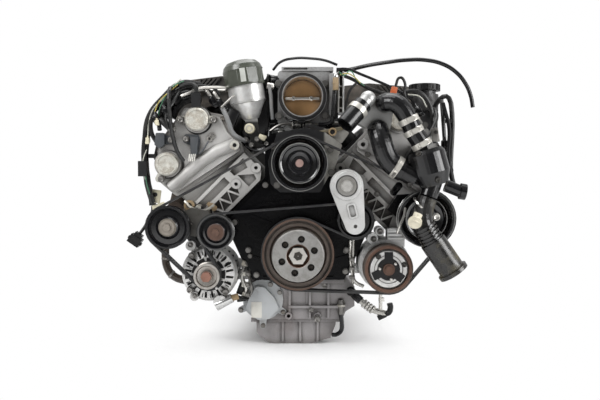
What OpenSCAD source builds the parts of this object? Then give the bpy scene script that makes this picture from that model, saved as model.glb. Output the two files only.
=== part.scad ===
// Petrol V8 car engine with its front accessory drive.
// +Z is up and the front looks along -Y. Left and right are as seen from the front.
// The origin lies on the crankshaft axis, in the face of the crank's rear flange.
// Positions on the front are [x, z]. A distance called forward is measured from the rear flange.

/* [Overall layout] */
// Forward distance of the middle of the drive belt
belt_plane = 580; // [576:1:600]
// Forward distance of the front face of the block
block_front = 500; // [485:1:502]
// Forward distance of the rear face of the block
block_rear = 14; // [13:1:20]
// Tilt of each cylinder bank from upright
bank_tilt = 45; // [44:0.5:46]
// Height of each deck above the crank axis, along its bank
deck_height = 220; // [216:1:224]
// Half width of each bank across its deck
deck_half = 80; // [76:1:82]
// Depth of the crankcase below the crank axis
crankcase_drop = 62; // [58:1:64]
// Half width of the crankcase at its lower face
crankcase_half = 108; // [100:1:112]
// Gap left between pieces that move past each other
run_gap = 0.3; // [0.2:0.05:0.6]
// Radial clearance of a shaft in its bearing
bearing_fit = 0.05; // [0.02:0.01:0.1]

/* [Crankshaft] */
// Radius of the main journals
main_r = 31; // [28:0.5:34]
// Radius of the crankpins
pin_r = 26; // [22:0.5:28]
// Throw of the crankpins
throw = 44; // [38:0.5:46]
// Distance between neighbouring throws
bore_pitch = 104; // [100:1:108]
// Length of each crankpin
pin_length = 44; // [36:1:46]
// Thickness of each web
web_t = 14; // [10:0.5:15]
// Radius of the counterweights
counterweight_r = 72; // [66:1:74]
// Radius of the bays in which the throws turn
bay_r = 78; // [77:1:84]
// Radius of the rear flange
flange_r = 46; // [44:1:50]
// Thickness of the rear flange
flange_t = 12; // [8:0.5:12.5]
// Radius of the circle of rear flange bolts
flange_bolt_circle = 36; // [34:0.5:38]
// Radius of the rear flange bolt holes
flange_bolt_r = 4.5; // [3.5:0.1:5.5]
// Number of rear flange bolt holes
flange_bolts = 8; // [6:1:8]
// Radius of the pilot bore in the rear flange
pilot_r = 17.5; // [12:0.5:20]
// Depth of the pilot bore
pilot_depth = 22; // [12:1:30]
// Radius of the nose that carries the damper
nose_r = 19; // [16:0.5:21]

/* [Crank damper] */
// Outer radius of the damper
damper_r = 77; // [74:0.5:80]
// Forward distance of the silver disc's front face
damper_face = 624; // [616:1:628]
// Radius of the silver disc
disc_r = 56; // [50:0.5:58]
// Radius of the circle of recessed bolts
disc_bolt_circle = 36; // [34:0.5:38]
// Number of recessed bolts
disc_bolts = 6; // [4:1:8]
// Radius of each recess
disc_recess_r = 7.5; // [6:0.1:8]
// Radius of the hub recess
hub_recess_r = 24; // [23:0.5:25]
// Distance across the flats of the crank bolt
crank_bolt_flats = 34; // [28:0.5:36]

/* [Drive belt] */
// Width of the belt
belt_w = 24; // [18:0.5:26]
// Thickness of the belt
belt_t = 4.4; // [3.5:0.1:5]
// Height of a pulley's rims over the seat of the belt
rim_lip = 2; // [1:0.1:3]
// Number of grooves in a grooved pulley
grooves = 6; // [3:1:7]
// Depth of each groove
groove_depth = 2.2; // [1:0.1:2.5]
// Distance between grooves
groove_pitch = 3; // [2.2:0.1:3.2]

/* [Pulleys] */
// Place of the water pump
pump_pos = [3, 195]; // [-20:0.5:200]
// Radius of the water pump pulley
pump_r = 60; // [54:0.5:62]
// Place of the grooved idler
idler_pos = [-279, 58]; // [-285:0.5:60]
// Radius of the grooved idler
idler_r = 46; // [42:0.5:47]
// Place of the smooth idler
smooth_pos = [-176, 47.5]; // [-180:0.5:50]
// Radius of the smooth idler
smooth_r = 38.5; // [36:0.5:39]
// Place of the alternator
alternator_pos = [-196, -47]; // [-200:0.5:0]
// Radius of the alternator pulley
alternator_r = 28; // [26:0.5:30]
// Place of the tensioner pulley
tension_pos = [122.5, 72]; // [70:0.5:124]
// Radius of the tensioner pulley
tension_r = 38; // [35:0.5:39]
// Place of the air compressor
compressor_pos = [193, -31]; // [-32:0.5:195]
// Radius of the air compressor pulley
compressor_r = 53; // [50:0.5:55]
// Place of the steering pump
steering_pos = [274, 76.5]; // [75:0.5:276]
// Radius of the steering pump pulley
steering_r = 61; // [58:0.5:62]
// Radius of the idlers' shoulder bolts
idler_pin_r = 8; // [6:0.5:9]
// Radius of the pump and alternator shafts
shaft_r = 8; // [6:0.5:9]

/* [Belt tensioner] */
// Place of the tensioner's pivot
pivot_pos = [102, 147]; // [100:0.5:149]
// Radius of the arm around its pivot
arm_r = 35; // [32:0.5:36]
// Radius of the arm around its pulley
arm_tip_r = 21; // [18:0.5:23]
// Thickness of the arm
arm_t = 15; // [12:0.5:18]
// Radius of the pivot bolt
pivot_r = 8; // [6:0.5:9]
// Radius of the pin that carries the tensioner pulley
tension_pin_r = 6; // [5:0.5:7]

/* [Front cover] */
// Depth of the black front cover
cover_depth = 45; // [38:1:46]
// Radius of the crank hole in the front cover
seal_r = 32; // [31:0.5:36]
// Radius of the bolts on the front cover
cover_bolt_r = 5.5; // [4:0.5:6]

/* [Cylinder heads] */
// Height of each head along its bank
head_h = 100; // [92:1:104]
// Height of each cam cover along its bank
cam_cover_h = 74; // [60:1:76]
// Depth of each cam drive cover
drive_cover_depth = 32; // [24:1:36]
// Radius of the round actuator caps
actuator_r = 25.5; // [22:0.5:27]
// Height of the round actuator caps
actuator_h = 15; // [8:0.5:18]
// Distance of the ears' bolts from the middle of an actuator cap
actuator_ear = 37; // [34:0.5:38]

// Radius of the exhaust outlets
exhaust_bore_r = 20; // [17:0.5:22]

/* [Intake] */
// Place of the throttle bore
throttle_pos = [9.5, 345]; // [5:0.5:350]
// Radius of the throttle bore
throttle_bore_r = 43.4; // [40:0.2:44]
// Radius of the throttle's inlet spigot
throttle_spigot_r = 48; // [46.5:0.5:52]
// Forward distance of the throttle's inlet
throttle_front = 520; // [510:1:526]
// Forward distance of the throttle plate's shaft
throttle_shaft = 462; // [460:1:470]
// Thickness of the throttle plate
plate_t = 3; // [2:0.2:4]
// Radius of the throttle shaft
throttle_shaft_r = 5; // [4:0.2:6]
// Forward distance of the joint between throttle body and plenum
plenum_front = 425; // [415:1:440]
// Half width of the plenum
plenum_half = 92; // [84:1:96]
// Height of the plenum's floor
plenum_floor = 292; // [288:1:296]
// Height of the plenum's top
plenum_top = 404; // [398:1:410]
// Wall of the plenum
plenum_wall = 6; // [4:0.5:8]
// Radius of the intake runners
runner_r = 21; // [18:0.5:24]

/* [Oil filter] */
// Foot of the filter canister
filter_foot = [-107, 297]; // [-115:0.5:300]
// Lean of the filter canister to the left
filter_lean = 10; // [6:0.5:14]
// Radius of the filter cap
filter_cap_r = 46; // [43:0.5:47]
// Height of the filter cap
filter_cap_h = 60; // [54:1:62]
// Forward distance of the filter's axis
filter_forward = 486; // [480:1:492]
// Height of the filter's body above its foot
filter_body_h = 74; // [70:1:80]

/* [Sump] */
// Depth of the upper sump below the crankcase
sump_upper_h = 96; // [88:1:100]
// Depth of the lower pan
sump_lower_h = 59; // [50:1:64]
// Wall of the sump castings
sump_wall = 7; // [5:0.5:9]
// Place of the grey plastic cover beside the sump
side_cover_pos = [-80, -113]; // [-115:0.5:-70]
// Radius of the grey plastic cover
side_cover_r = 43; // [38:0.5:46]

/* [Coolant parts] */
// Radius of the upper hose
upper_hose_r = 20; // [17:0.5:22]
// Radius of the lower hose
lower_hose_r = 23; // [20:0.5:25]
// Radius of the open bypass hose
bypass_r = 19.5; // [16:0.5:21]
// Width of the hose clamps
clamp_w = 12; // [8:0.5:14]
// Thickness of the hose clamps
clamp_t = 2; // [1:0.1:3]
// Radius of the thermostat housing
thermostat_r = 39; // [36:0.5:41]
// Radius of the coolant outlet pipe
outlet_r = 27; // [24:0.5:29]
// Radius of the expansion tank's cap
tank_cap_r = 36; // [32:0.5:38]
// Height of the expansion tank's cap
tank_cap_h = 15; // [12:0.5:18]
// Place of the expansion tank
tank_pos = [293, 450]; // [280:0.5:456]
// Height of the expansion tank's neck
tank_top = 364; // [360:0.5:368]

/* [Loose hose and lead] */
// Diameter of the loose vent hose
vent_hose_d = 9; // [7:0.5:10]
// Diameter of the loose sensor lead
sensor_lead_d = 7; // [5:0.5:8]

/* [Hidden] */
$fn = 48;

cover_face = block_front + cover_depth;
belt_back = belt_plane - belt_w / 2;
belt_front = belt_plane + belt_w / 2;
// The pulleys' rims stand a little past both edges of the belt
rim_half = belt_w / 2 + 3;
rim_back = belt_plane - rim_half;
rim_front = belt_plane + rim_half;
bay_middle = (block_front + block_rear) / 2;
bay_half = pin_length / 2 + web_t + 2;
head_top = deck_height + head_h;
head_front = block_front - 4;
head_rear = block_rear + 16;
casting_t = 20;
casting_front = block_front + casting_t;
drive_cover_face = block_front + drive_cover_depth;
throws = [0, 90, 270, 180];

// Route of the loose vent hose, from the intake over the right bank
vent_route = [[88, -455, 411], [100, -456, 411], [125, -464, 414], [160, -484, 419], [200, -502, 423],
    [240, -514, 426], [282, -520, 425], [320, -522, 416], [350, -522, 398], [371, -522, 373],
        [383, -522, 346],
    [388, -522, 320]];
// Route of the loose sensor lead, hanging from the left harness
lead_route = [[-330, -500, 100], [-330, -500, 92], [-333, -507, 78], [-339, -516, 63], [-346, -522, 50],
    [-353, -525, 40]];

function unit(v) = v / norm(v);
// A point on the left bank, u along its axis from the crank and v across it towards the valley
function bank_pt(u, v) = [v * cos(bank_tilt) - u * sin(bank_tilt), u * cos(bank_tilt) + v * sin(bank_tilt)];
function mirrored(p) = [-p.x, p.y];
function both_sides(p) = concat(p, [for (i = [len(p) - 1:-1:0]) mirrored(p[i])]);
function bay_at(i) = bay_middle + (i - 1.5) * bore_pitch;
function ring_of(n, r, start = 0) = [for (i = [0:n - 1])
    r * [cos(start + 360 * i / n), sin(start + 360 * i / n)]];

// The child outline [x, z] between two forward distances
module slab(back, front) translate([0, -back, 0]) rotate([90, 0, 0]) linear_extrude(front - back) children();
// A round bar along Y
module bar(p, back, front, r, fn = 48)
    translate([p.x, -back, p.y]) rotate([90, 0, 0]) cylinder(r = r, h = front - back, $fn = fn);
// A round bar that narrows from r1 at the back to r2 at the front
module taper(p, back, front, r1, r2)
    translate([p.x, -back, p.y]) rotate([90, 0, 0]) cylinder(r1 = r1, r2 = r2, h = front - back);
// A profile [radius, forward] turned about a front axis
module turned(p, forward) translate([p.x, -forward, p.y]) rotate([90, 0, 0]) rotate_extrude() children();
// A hexagon head, given its distance across the flats
module hex_head(p, back, h, flats) slab(back, back + h) translate(p) circle(r = flats / sqrt(3), $fn = 6);
// A straight round bar between two points
module strut(a, b, r, fn = 48) {
    d = b - a;
    translate(a) rotate([0, acos(d.z / norm(d)), atan2(d.y, d.x)]) cylinder(r = r, h = norm(d), $fn = fn);
}
module rounded(r) offset(r, $fn = 20) offset(-r) children();
// Children are drawn on the left bank, and mirrored for the right one
module bank(side) mirror([side > 0 ? 1 : 0, 0, 0]) rotate([0, -bank_tilt, 0]) children();

function spline(a, b, c, d, t) = 0.5 * (2 * b + (c - a) * t + (2 * a - 5 * b + 4 * c - d) * t * t
    + (3 * b - a - 3 * c + d) * t * t * t);
function smooth_route(p, k) = [for (i = [0:len(p) - 2]) for (j = [0:k - 1])
    spline(p[max(i - 1, 0)], p[i], p[i + 1], p[min(i + 2, len(p) - 1)], j / k), p[len(p) - 1]];
function tangents(p) = [for (i = [0:len(p) - 1]) unit(p[min(i + 1, len(p) - 1)] - p[max(i - 1, 0)])];
function carried(t, i, n) = let (m = unit(n - (n * t[i]) * t[i]))
    i == len(t) - 1 ? [m] : concat([m], carried(t, i + 1, m));

// A round tube along a route, smoothed into k steps for each stretch
module tube(route, r, sides = 8, k = 1) {
    p = k > 1 ? smooth_route(route, k) : route;
    t = tangents(p);
    n = carried(t, 0, abs(t[0].z) > 0.9 ? [1, 0, 0] : [0, 0, 1]);
    rings = [for (i = [0:len(p) - 1]) for (s = [0:sides - 1])
        p[i] + r * (cos(360 * s / sides) * n[i] + sin(360 * s / sides) * cross(t[i], n[i]))];
    last = (len(p) - 1) * sides;
    polyhedron(rings, concat([[for (s = [0:sides - 1]) s]], [[for (s = [sides - 1:-1:0]) last + s]],
        [for (i = [0:len(p) - 2]) for (s = [0:sides - 1]) each let (a = i * sides + s,
            b = i * sides + (s + 1) % sides) [[a, a + sides, b + sides], [a, b + sides, b]]]), 2);
}

// Outline of a grooved rim from back to front
function grooved_rim(r) = let (seat = r - rim_lip, half = rim_half, g0 = -grooves * groove_pitch / 2)
    concat([[r, -half], [r, -half + 1.5], [seat, -half + 2.5], [seat, g0 - 1]],
        [for (i = [0:grooves - 1]) each [[seat, g0 + i * groove_pitch + 0.4],
            [seat - groove_depth, g0 + (i + 0.35) * groove_pitch],
            [seat - groove_depth, g0 + (i + 0.65) * groove_pitch],
            [seat, g0 + (i + 1) * groove_pitch - 0.4]]],
        [[seat, -g0 + 1], [seat, half - 2.5], [r, half - 1.5], [r, half]]);
// Outline of a smooth rim from back to front
function smooth_rim(r) = let (seat = r - rim_lip, half = rim_half)
    [[r, -half], [r, -half + 1.5], [seat, -half + 2.5], [seat, half - 2.5], [r, half - 1.5], [r, half]];

// ---- Crank train ----

module web(angle, back)
    slab(back, back + web_t) rotate(angle) {
        intersection() {
            circle(counterweight_r);
            polygon([[-counterweight_r, -counterweight_r], [counterweight_r, -counterweight_r],
                [pin_r + 6, 4], [-pin_r - 6, 4]]);
        }
        translate([-pin_r - 3, -4]) square([2 * pin_r + 6, throw + 4]);
        translate([0, throw]) circle(pin_r + 3);
        circle(main_r + 3);
    }

module crankshaft() color("dimgray") difference() {
    union() {
        bar([0, 0], 0, flange_t, flange_r);
        for (i = [0:4]) let (
            back = i == 0 ? flange_t : bay_at(i - 1) + pin_length / 2 + web_t,
            front = i == 4 ? block_front : bay_at(i) - pin_length / 2 - web_t)
            bar([0, 0], back, front, main_r);
        for (i = [0:3]) {
            bar(throw * [-sin(throws[i]), cos(throws[i])], bay_at(i) - pin_length / 2,
                bay_at(i) + pin_length / 2, pin_r);
            web(throws[i], bay_at(i) - pin_length / 2 - web_t);
            web(throws[i], bay_at(i) + pin_length / 2);
        }
        bar([0, 0], block_front, belt_front + 6, nose_r);
    }
    bar([0, 0], -1, pilot_depth, pilot_r);
    for (p = ring_of(flange_bolts, flange_bolt_circle)) bar(p, -1, flange_t + 8, flange_bolt_r);
}

module crank_damper() color("silver") difference() {
    hub_r = nose_r + 12;
    disc_back = damper_face - 10;
    turned([0, 0], belt_plane) polygon(concat(
        [[nose_r + bearing_fit, belt_front + 6 - belt_plane],
            [nose_r + bearing_fit, cover_face + 9 - belt_plane],
            [hub_r - 1, cover_face + 9 - belt_plane], [hub_r - 1, -belt_w / 2 + 4],
                [disc_r + 6, -belt_w / 2 + 4],
            [disc_r + 6, -rim_half]],
        grooved_rim(damper_r),
        [[damper_r - 5, rim_half], [damper_r - 6, belt_w / 2 - 2], [damper_r - 9, belt_w / 2 - 2],
            [damper_r - 10, rim_half], [disc_r + 5, rim_half + 1], [disc_r + 3, belt_w / 2 - 2],
            [disc_r + 1, belt_w / 2 - 2], [disc_r - 1, damper_face - belt_plane - 2],
            [disc_r - 3, damper_face - belt_plane], [hub_recess_r + 2, damper_face - belt_plane],
            [hub_recess_r, damper_face - belt_plane - 2], [hub_recess_r, belt_front + 6 - belt_plane]]));
    for (p = ring_of(disc_bolts, disc_bolt_circle, 79)) bar(p, disc_back, damper_face + 1, disc_recess_r);
}

module crank_bolt() color("peru") {
    bar([0, 0], belt_front + 6, belt_front + 11, hub_recess_r - 1);
    hex_head([0, 0], belt_front + 11, damper_face - belt_front - 14, crank_bolt_flats);
}

// ---- Block and sump ----

block_outline = both_sides([[0, -crankcase_drop], [-crankcase_half, -crankcase_drop],
    [-crankcase_half - 12, 15], bank_pt(deck_height, -deck_half), bank_pt(deck_height, deck_half),
    bank_pt(136, deck_half)]);
housing_bolts = [[-112, -40], [-165, 25], [-165, 100], [-100, 165], [-34, 172]];
housing_bolt_r = 6;
housing_t = 16;
mount_pad_x = crankcase_half + 22;
// The left mount stands a little behind the right one
function mount_at(s) = s > 0 ? 280 : 270;
function mount_bolts(s) = [for (f = [-35, 35]) for (z = [-36, 2]) [mount_at(s) + f, z]];

module engine_block() color("silver") difference() {
    union() {
        slab(block_rear, block_front) polygon(block_outline);
        slab(block_rear, block_rear + housing_t) intersection() {
            hull() for (s = [-1, 1]) for (p = housing_bolts) translate([s * p.x, p.y]) circle(14, $fn = 32);
            translate([-250, -crankcase_drop]) square([500, 400]);
        }
        for (s = [-1, 1]) {
            translate([s > 0 ? 60 : -mount_pad_x, -mount_at(s) - 55, -crankcase_drop + 12])
                cube([mount_pad_x - 60, 110, 66]);
            // Ribs down the sides of the crankcase
            for (i = [0:4]) slab(bay_middle + (i - 2) * bore_pitch - 4, bay_middle + (i - 2) * bore_pitch + 4)
                polygon([for (p = [[-9, -crankcase_drop], [9, -crankcase_drop], [20, 18], [-9, 40]])
                    [s * (crankcase_half + p.x), p.y]]);
        }
    }
    bar([0, 0], block_rear - 1, block_front + 1, main_r + bearing_fit);
    for (i = [0:3]) bar([0, 0], bay_at(i) - bay_half, bay_at(i) + bay_half, bay_r);
    for (s = [-1, 1]) {
        for (p = housing_bolts) bar([s * p.x, p.y], block_rear - 1, block_rear + housing_t + 1,
            housing_bolt_r);
        for (m = mount_bolts(s)) translate([s * (mount_pad_x + 1), -m.x, m.y]) rotate([0, -s * 90, 0])
            cylinder(r = 5, h = 24);
    }
}

sump_joint = -crankcase_drop - sump_upper_h;
sump_bottom = sump_joint - sump_lower_h;
sump_front = block_front;
sump_rear = block_rear + 12;
sump_wide = crankcase_half + 20;
upper_outline = [[-crankcase_half, -crankcase_drop], [crankcase_half, -crankcase_drop],
    [sump_wide, -crankcase_drop - 22], [sump_wide, -crankcase_drop - 66],
        [crankcase_half, -crankcase_drop - 78],
    [100, sump_joint], [-102, sump_joint], [-crankcase_half, -crankcase_drop - 78],
    [-sump_wide + 8, -crankcase_drop - 66], [-sump_wide + 8, -crankcase_drop - 22]];
lower_outline = [[-96, sump_joint], [-96, sump_bottom + 27], [-86, sump_bottom + 15], [-68, sump_bottom + 3],
    [-56, sump_bottom], [30, sump_bottom], [74, sump_bottom + 13], [86, sump_bottom + 45], [86, sump_joint]];
lower_front = sump_front - 14;
lower_rear = sump_rear + 110;
pan_bolts = [for (s = [-1, 1]) for (i = [0:3]) [s > 0 ? 93 : -103, lower_rear + 24 + i * 96]];

module sump_upper() color("darkgray") difference() {
    union() {
        slab(sump_rear, sump_front) polygon(upper_outline);
        // Front ribs and bosses
        for (x = [-22, 24, 66]) slab(sump_front, sump_front + 5) translate([x, sump_joint + 2])
            square([5, sump_upper_h - 16]);
        slab(sump_front, sump_front + 7) translate([-22, sump_joint + 26]) square([122, 6]);
        slab(sump_front, sump_front + 9) translate([-24, -crankcase_drop - 13])
            square([crankcase_half + 20, 10]);
        for (x = [-22, 44]) bar([x, sump_joint + 9], sump_front, sump_front + 10, 8);
    }
    difference() {
        slab(sump_rear + sump_wall, sump_front - sump_wall) difference() {
            polygon([for (p = upper_outline) [p.x - sign(p.x) * sump_wall,
                p.y + (p.y < sump_joint + 1 ? -1 : (p.y > -crankcase_drop - 1 ? 1 : 0))]]);
        }
    }
    for (x = [-22, 44]) bar([x, sump_joint + 9], sump_front - 3, sump_front + 11, 4);
    // Shallow panels between the front ribs
    for (x = [-15, 31]) slab(sump_front - 2, sump_front + 1) translate([x, sump_joint + 36]) square([32, 34]);
}

module sump_lower() color("gray") difference() {
    union() {
        slab(lower_rear, lower_front) polygon(lower_outline);
        translate([-108, -lower_front - 6, sump_joint - 8]) cube([206, lower_front - lower_rear + 12, 8]);
        for (x = [-38, 2, 42]) slab(lower_front, lower_front + 4) translate([x, sump_bottom + 5])
            square([5, 46]);
    }
    slab(lower_rear + sump_wall, lower_front - sump_wall)
        polygon([for (p = lower_outline) [p.x - sign(p.x) * sump_wall,
            p.y + (p.y > sump_joint - 1 ? 1 : sump_wall)]]);
    for (b = pan_bolts) translate([b.x, -b.y, sump_joint - 9]) cylinder(r = 3.5, h = 10);
}

side_cover_ears = [[17, 35], [38, 17], [46, -28], [0, -59], [-50, -23], [-38, 21]];
module side_cover() color("lightslategray") difference() {
    union() {
        slab(sump_front, sump_front + 4) translate(side_cover_pos) rounded(4) union() {
            circle(side_cover_r + 3);
            for (e = side_cover_ears) hull() {
                circle(12);
                translate(e) circle(7);
            }
        }
        slab(sump_front + 4, sump_front + 14) translate(side_cover_pos) rounded(4)
            polygon([[-28, 12], [-14, 32], [4, 30], [26, 6], [36, -18], [14, -42], [-12, -44], [-38, -16]]);
    }
    for (e = side_cover_ears) bar(side_cover_pos + e, sump_front - 1, sump_front + 5, 3);
}

// ---- Heads and their covers ----

head_outline = [[-deck_half, 0], [deck_half, 0], [deck_half, 76], [deck_half + 12, 84],
    [deck_half + 12, head_h],
    [-deck_half - 22, head_h], [-deck_half - 22, 40], [-deck_half - 8, 16]];
casting_outline = [[-118, -48], [52, -48], [70, -34], [70, 21], [-118, 21]];
casting_bosses = [[65, -22], [8, -16]];

module head(side) color("silver") difference() {
    bank(side) union() {
        slab(head_rear, head_front) translate([0, deck_height]) polygon(head_outline);
        // Ribbed front casting that spans the joint between head and block
        translate([0, 0, deck_height]) difference() {
            slab(block_front, casting_front) polygon(casting_outline);
            for (i = [0:3]) slab(block_front + 8, casting_front + 1) translate([-106 + i * 26, 0]) {
                polygon([[0, -40], [22, -40], [11, -16]]);
                polygon([[14.5, -13], [36.5, -13], [25.5, -37]]);
            }
            slab(block_front + 8, casting_front + 1) polygon([[24, -40], [48, -40], [52, -28], [24, -4]]);
            slab(block_front + 8, casting_front + 1) polygon([[-108, -4], [0, -4], [0, 14], [-108, 14]]);
            slab(block_front + 8, casting_front + 1) polygon([[18, 0], [52, -8], [60, 14], [18, 14]]);
        }
        translate([0, 0, deck_height]) for (b = casting_bosses) bar(b, block_front, casting_front + 4, 11);
        slab(head_front, block_front) translate([0, deck_height]) polygon([for (p = head_outline)
            [p.x * 0.96, p.y]]);
    }
    bank(side) translate([0, 0, deck_height]) {
        for (b = casting_bosses) bar(b, block_front + 6, casting_front + 5, 4);
        // Exhaust ports
        for (i = [0:3]) translate([-deck_half - 23, -bay_at(i), 66]) rotate([0, 90, 0])
            cylinder(r = 17, h = 22);
    }
}
module left_head() head(-1);
module right_head() head(1);

cam_cover_outline = [[-96, 0], [86, 0], [86, 22], [70, cam_cover_h - 8], [50, cam_cover_h],
    [-62, cam_cover_h], [-84, cam_cover_h - 14], [-96, 24]];
coil_r = 15;
coil_v = -30;

module cam_cover(side) color([0.13, 0.13, 0.14]) bank(side) difference() {
    union() {
        slab(head_rear, head_front) translate([0, head_top]) polygon(cam_cover_outline);
        for (i = [0:8]) slab(head_rear + 26 + i * 52, head_rear + 31 + i * 52) translate([0, head_top])
            offset(delta = 4) polygon(cam_cover_outline * 0.985);
    }
    for (i = [0:3]) translate([coil_v, -bay_at(i), head_top + cam_cover_h - 14])
        cylinder(r = coil_r + 1, h = 22);
    // Keeps the ribs above the joint
    translate([-120, -head_front - 1, head_top - 12]) cube([240, head_front, 12]);
}
module left_cam_cover() cam_cover(-1);
module right_cam_cover() cam_cover(1);

module ignition_coils() color([0.1, 0.1, 0.11]) for (side = [-1, 1]) bank(side) for (i = [0:3])
    translate([coil_v, -bay_at(i), head_top + cam_cover_h - 14]) {
        cylinder(r = coil_r, h = 22);
        translate([-17, -12, 18]) cube([44, 24, 12]);
        translate([-34, -8, 20]) cube([18, 16, 8]);
    }

drive_outline = [[48, 186], [96, 115], [83, 79], [82, 45], [71, 22], [-107, 59], [-111, 106], [-76, 153],
    [-50, 173], [27, 184]];
actuator_spots = [[49, 144], [-66.5, 121]];
actuator_tilts = [[135, -45], [-165, -165]];
cover_boss = [67, 48];
duct_route = [cover_boss, [30, 65], [-14, 74], [-98, 80]];
duct_r = 15;
function duct_at(i) = [duct_route[i].x, -drive_cover_face + 4, duct_route[i].y];

module drive_cover(side) color("silver") difference() {
    bank(side) translate([0, 0, deck_height]) {
        slab(block_front, block_front + 10) rounded(7) polygon(drive_outline);
        slab(block_front + 10, drive_cover_face) rounded(7) offset(delta = -7) polygon(drive_outline);
        // Raised rims around the actuator caps
        for (a = actuator_spots) bar(a, drive_cover_face - 2, drive_cover_face + 5, actuator_r + 4);
        bar(cover_boss, block_front + 10, drive_cover_face + 16, 11);
        // Half round duct that curves from the boss down to the lower corner
        for (i = [0:len(duct_route) - 2]) let (along = unit(duct_at(i + 1) - duct_at(i)))
            strut(duct_at(i) - 3 * along, duct_at(i + 1) + 3 * along, duct_r);
    }
    bank(side) translate([0, 0, deck_height]) bar(cover_boss, drive_cover_face, drive_cover_face + 17, 5);
}
module left_drive_cover() drive_cover(-1);
module right_drive_cover() drive_cover(1);

module cam_actuators() color("gainsboro") for (side = [-1, 1]) bank(side) translate([0, 0, deck_height])
    for (i = [0, 1]) {
        back = drive_cover_face + 5;
        turned(actuator_spots[i], back) polygon([[0, 0], [actuator_r, 0], [actuator_r, actuator_h - 3],
            [actuator_r - 3, actuator_h], [actuator_r - 6, actuator_h], [actuator_r - 7, actuator_h - 1.5],
            [8, actuator_h - 1.5], [0, actuator_h - 2.5]]);
        for (a = actuator_tilts[i]) slab(back, back + 5) translate(actuator_spots[i]) rotate(a) {
            translate([actuator_r - 6, -8]) square([actuator_ear - actuator_r + 6, 16]);
            translate([actuator_ear, 0]) circle(8);
        }
    }

// Middle of the left bank's upper actuator, seen from the front
upper_actuator = bank_pt(deck_height + actuator_spots[0].y, actuator_spots[0].x);
module sensors() {
    // Cam position sensors on the left drive cover
    color([0.35, 0.36, 0.37]) {
        slab(drive_cover_face, drive_cover_face + 7) translate(upper_actuator) rounded(2)
            polygon([[-30.3, -38], [-24.3, -32], [3.7, -34], [6.7, -46], [2.7, -78], [-13.3, -78],
                [-15.3, -56],
                [-30.3, -50]]);
        slab(drive_cover_face + 7, drive_cover_face + 18) translate(upper_actuator) rounded(2)
            polygon([[-13.3, -38], [3.7, -40], [1.7, -78], [-12.3, -78]]);
        bar(upper_actuator + [-24.3, -43], drive_cover_face + 7, drive_cover_face + 11, 5);
    }
    color([0.2, 0.21, 0.22]) {
        slab(drive_cover_face, drive_cover_face + 20) translate(upper_actuator) rounded(3)
            polygon([[-88.3, -30], [-69.3, -30], [-69.3, -56], [-81.3, -64], [-91.3, -56]]);
        slab(drive_cover_face, drive_cover_face + 8) translate(upper_actuator)
            polygon([[-69.3, -36], [-51.3, -36], [-51.3, -54], [-69.3, -54]]);
    }
}
module coil_covers() color([0.16, 0.15, 0.14]) for (side = [-1, 1]) mirror([side > 0 ? 1 : 0, 0, 0]) {
    front = side > 0 ? 380 : 432;
    crown = side > 0 ? [[-266, 384], [-172, 392], [-112, 386]] : [[-277, 390], [-180, 402], [-112, 397]];
    outline = concat([bank_pt(head_top + cam_cover_h + 3, 58), bank_pt(head_top + cam_cover_h + 3, 0),
        [-296, 345]], crown, [[-112, 342], [-198, 334]]);
    slab(head_rear + 30, front) polygon(outline);
    slab(front, front + 6) intersection() {
        offset(delta = -3) polygon(outline);
        for (i = [0:7]) translate([-274 + i * 11, 376 + i]) rotate(-42) square([4, 44], center = true);
    }
}

log_v = -deck_half - 66;
log_u = 46;
outlet_pos = [mirrored(bank_pt(deck_height + log_u, log_v)).x, 70];
outlet_top = 52;
outlet_face = 12;
flange_h = 10;
// A manifold is drawn on the left, and mirrored for the right
module exhaust_manifold(side) color("peru") mirror([side > 0 ? 1 : 0, 0, 0]) difference() {
    log_end = bank_pt(deck_height + log_u, log_v);
    union() {
        bank(-1) translate([0, 0, deck_height]) {
            bar([log_v, log_u], bay_at(0) - 30, bay_at(3) + 24, 22);
            for (i = [0:3]) {
                translate([-deck_half - 22, -bay_at(i), 66]) rotate([0, -90, 0]) cylinder(r = 25, h = 9);
                strut([-deck_half - 33, -bay_at(i), 66], [log_v, -bay_at(i), log_u], 20);
            }
        }
        strut([log_end.x, -bay_at(0) + 8, log_end.y], [-outlet_pos.x, -outlet_pos.y, outlet_top - 6], 22);
        translate([-outlet_pos.x, -outlet_pos.y, outlet_face]) {
            cylinder(r = exhaust_bore_r + 5, h = outlet_top - outlet_face);
            cylinder(r = exhaust_bore_r + 18, h = flange_h);
        }
    }
    translate([-outlet_pos.x, -outlet_pos.y, outlet_face - 1]) cylinder(r = exhaust_bore_r, h = 36);
    bank(-1) translate([0, 0, deck_height]) for (i = [0:3]) translate([-deck_half - 21, -bay_at(i), 66])
        rotate([0, -90, 0]) cylinder(r = 16, h = 22);
}
module left_exhaust_manifold() exhaust_manifold(-1);
module right_exhaust_manifold() exhaust_manifold(1);

// ---- Front cover and water pump ----

cover_u = deck_height - 52;
tower_half = 74;
tower_top = 262;
front_outline = both_sides([[0, -64], [-102, -64], [-116, -40], [-148, 30], bank_pt(cover_u, -62),
    bank_pt(cover_u, 58), [-tower_half, cover_u * sqrt(2) - tower_half + 2], [-tower_half, tower_top - 14],
    [-tower_half + 14, tower_top]]);
cover_bolt_spots = [[106, 5], [104, -42], [-110, 5], [-92, -50], [140, 60], [-140, 66], [-72, 148]];

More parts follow.
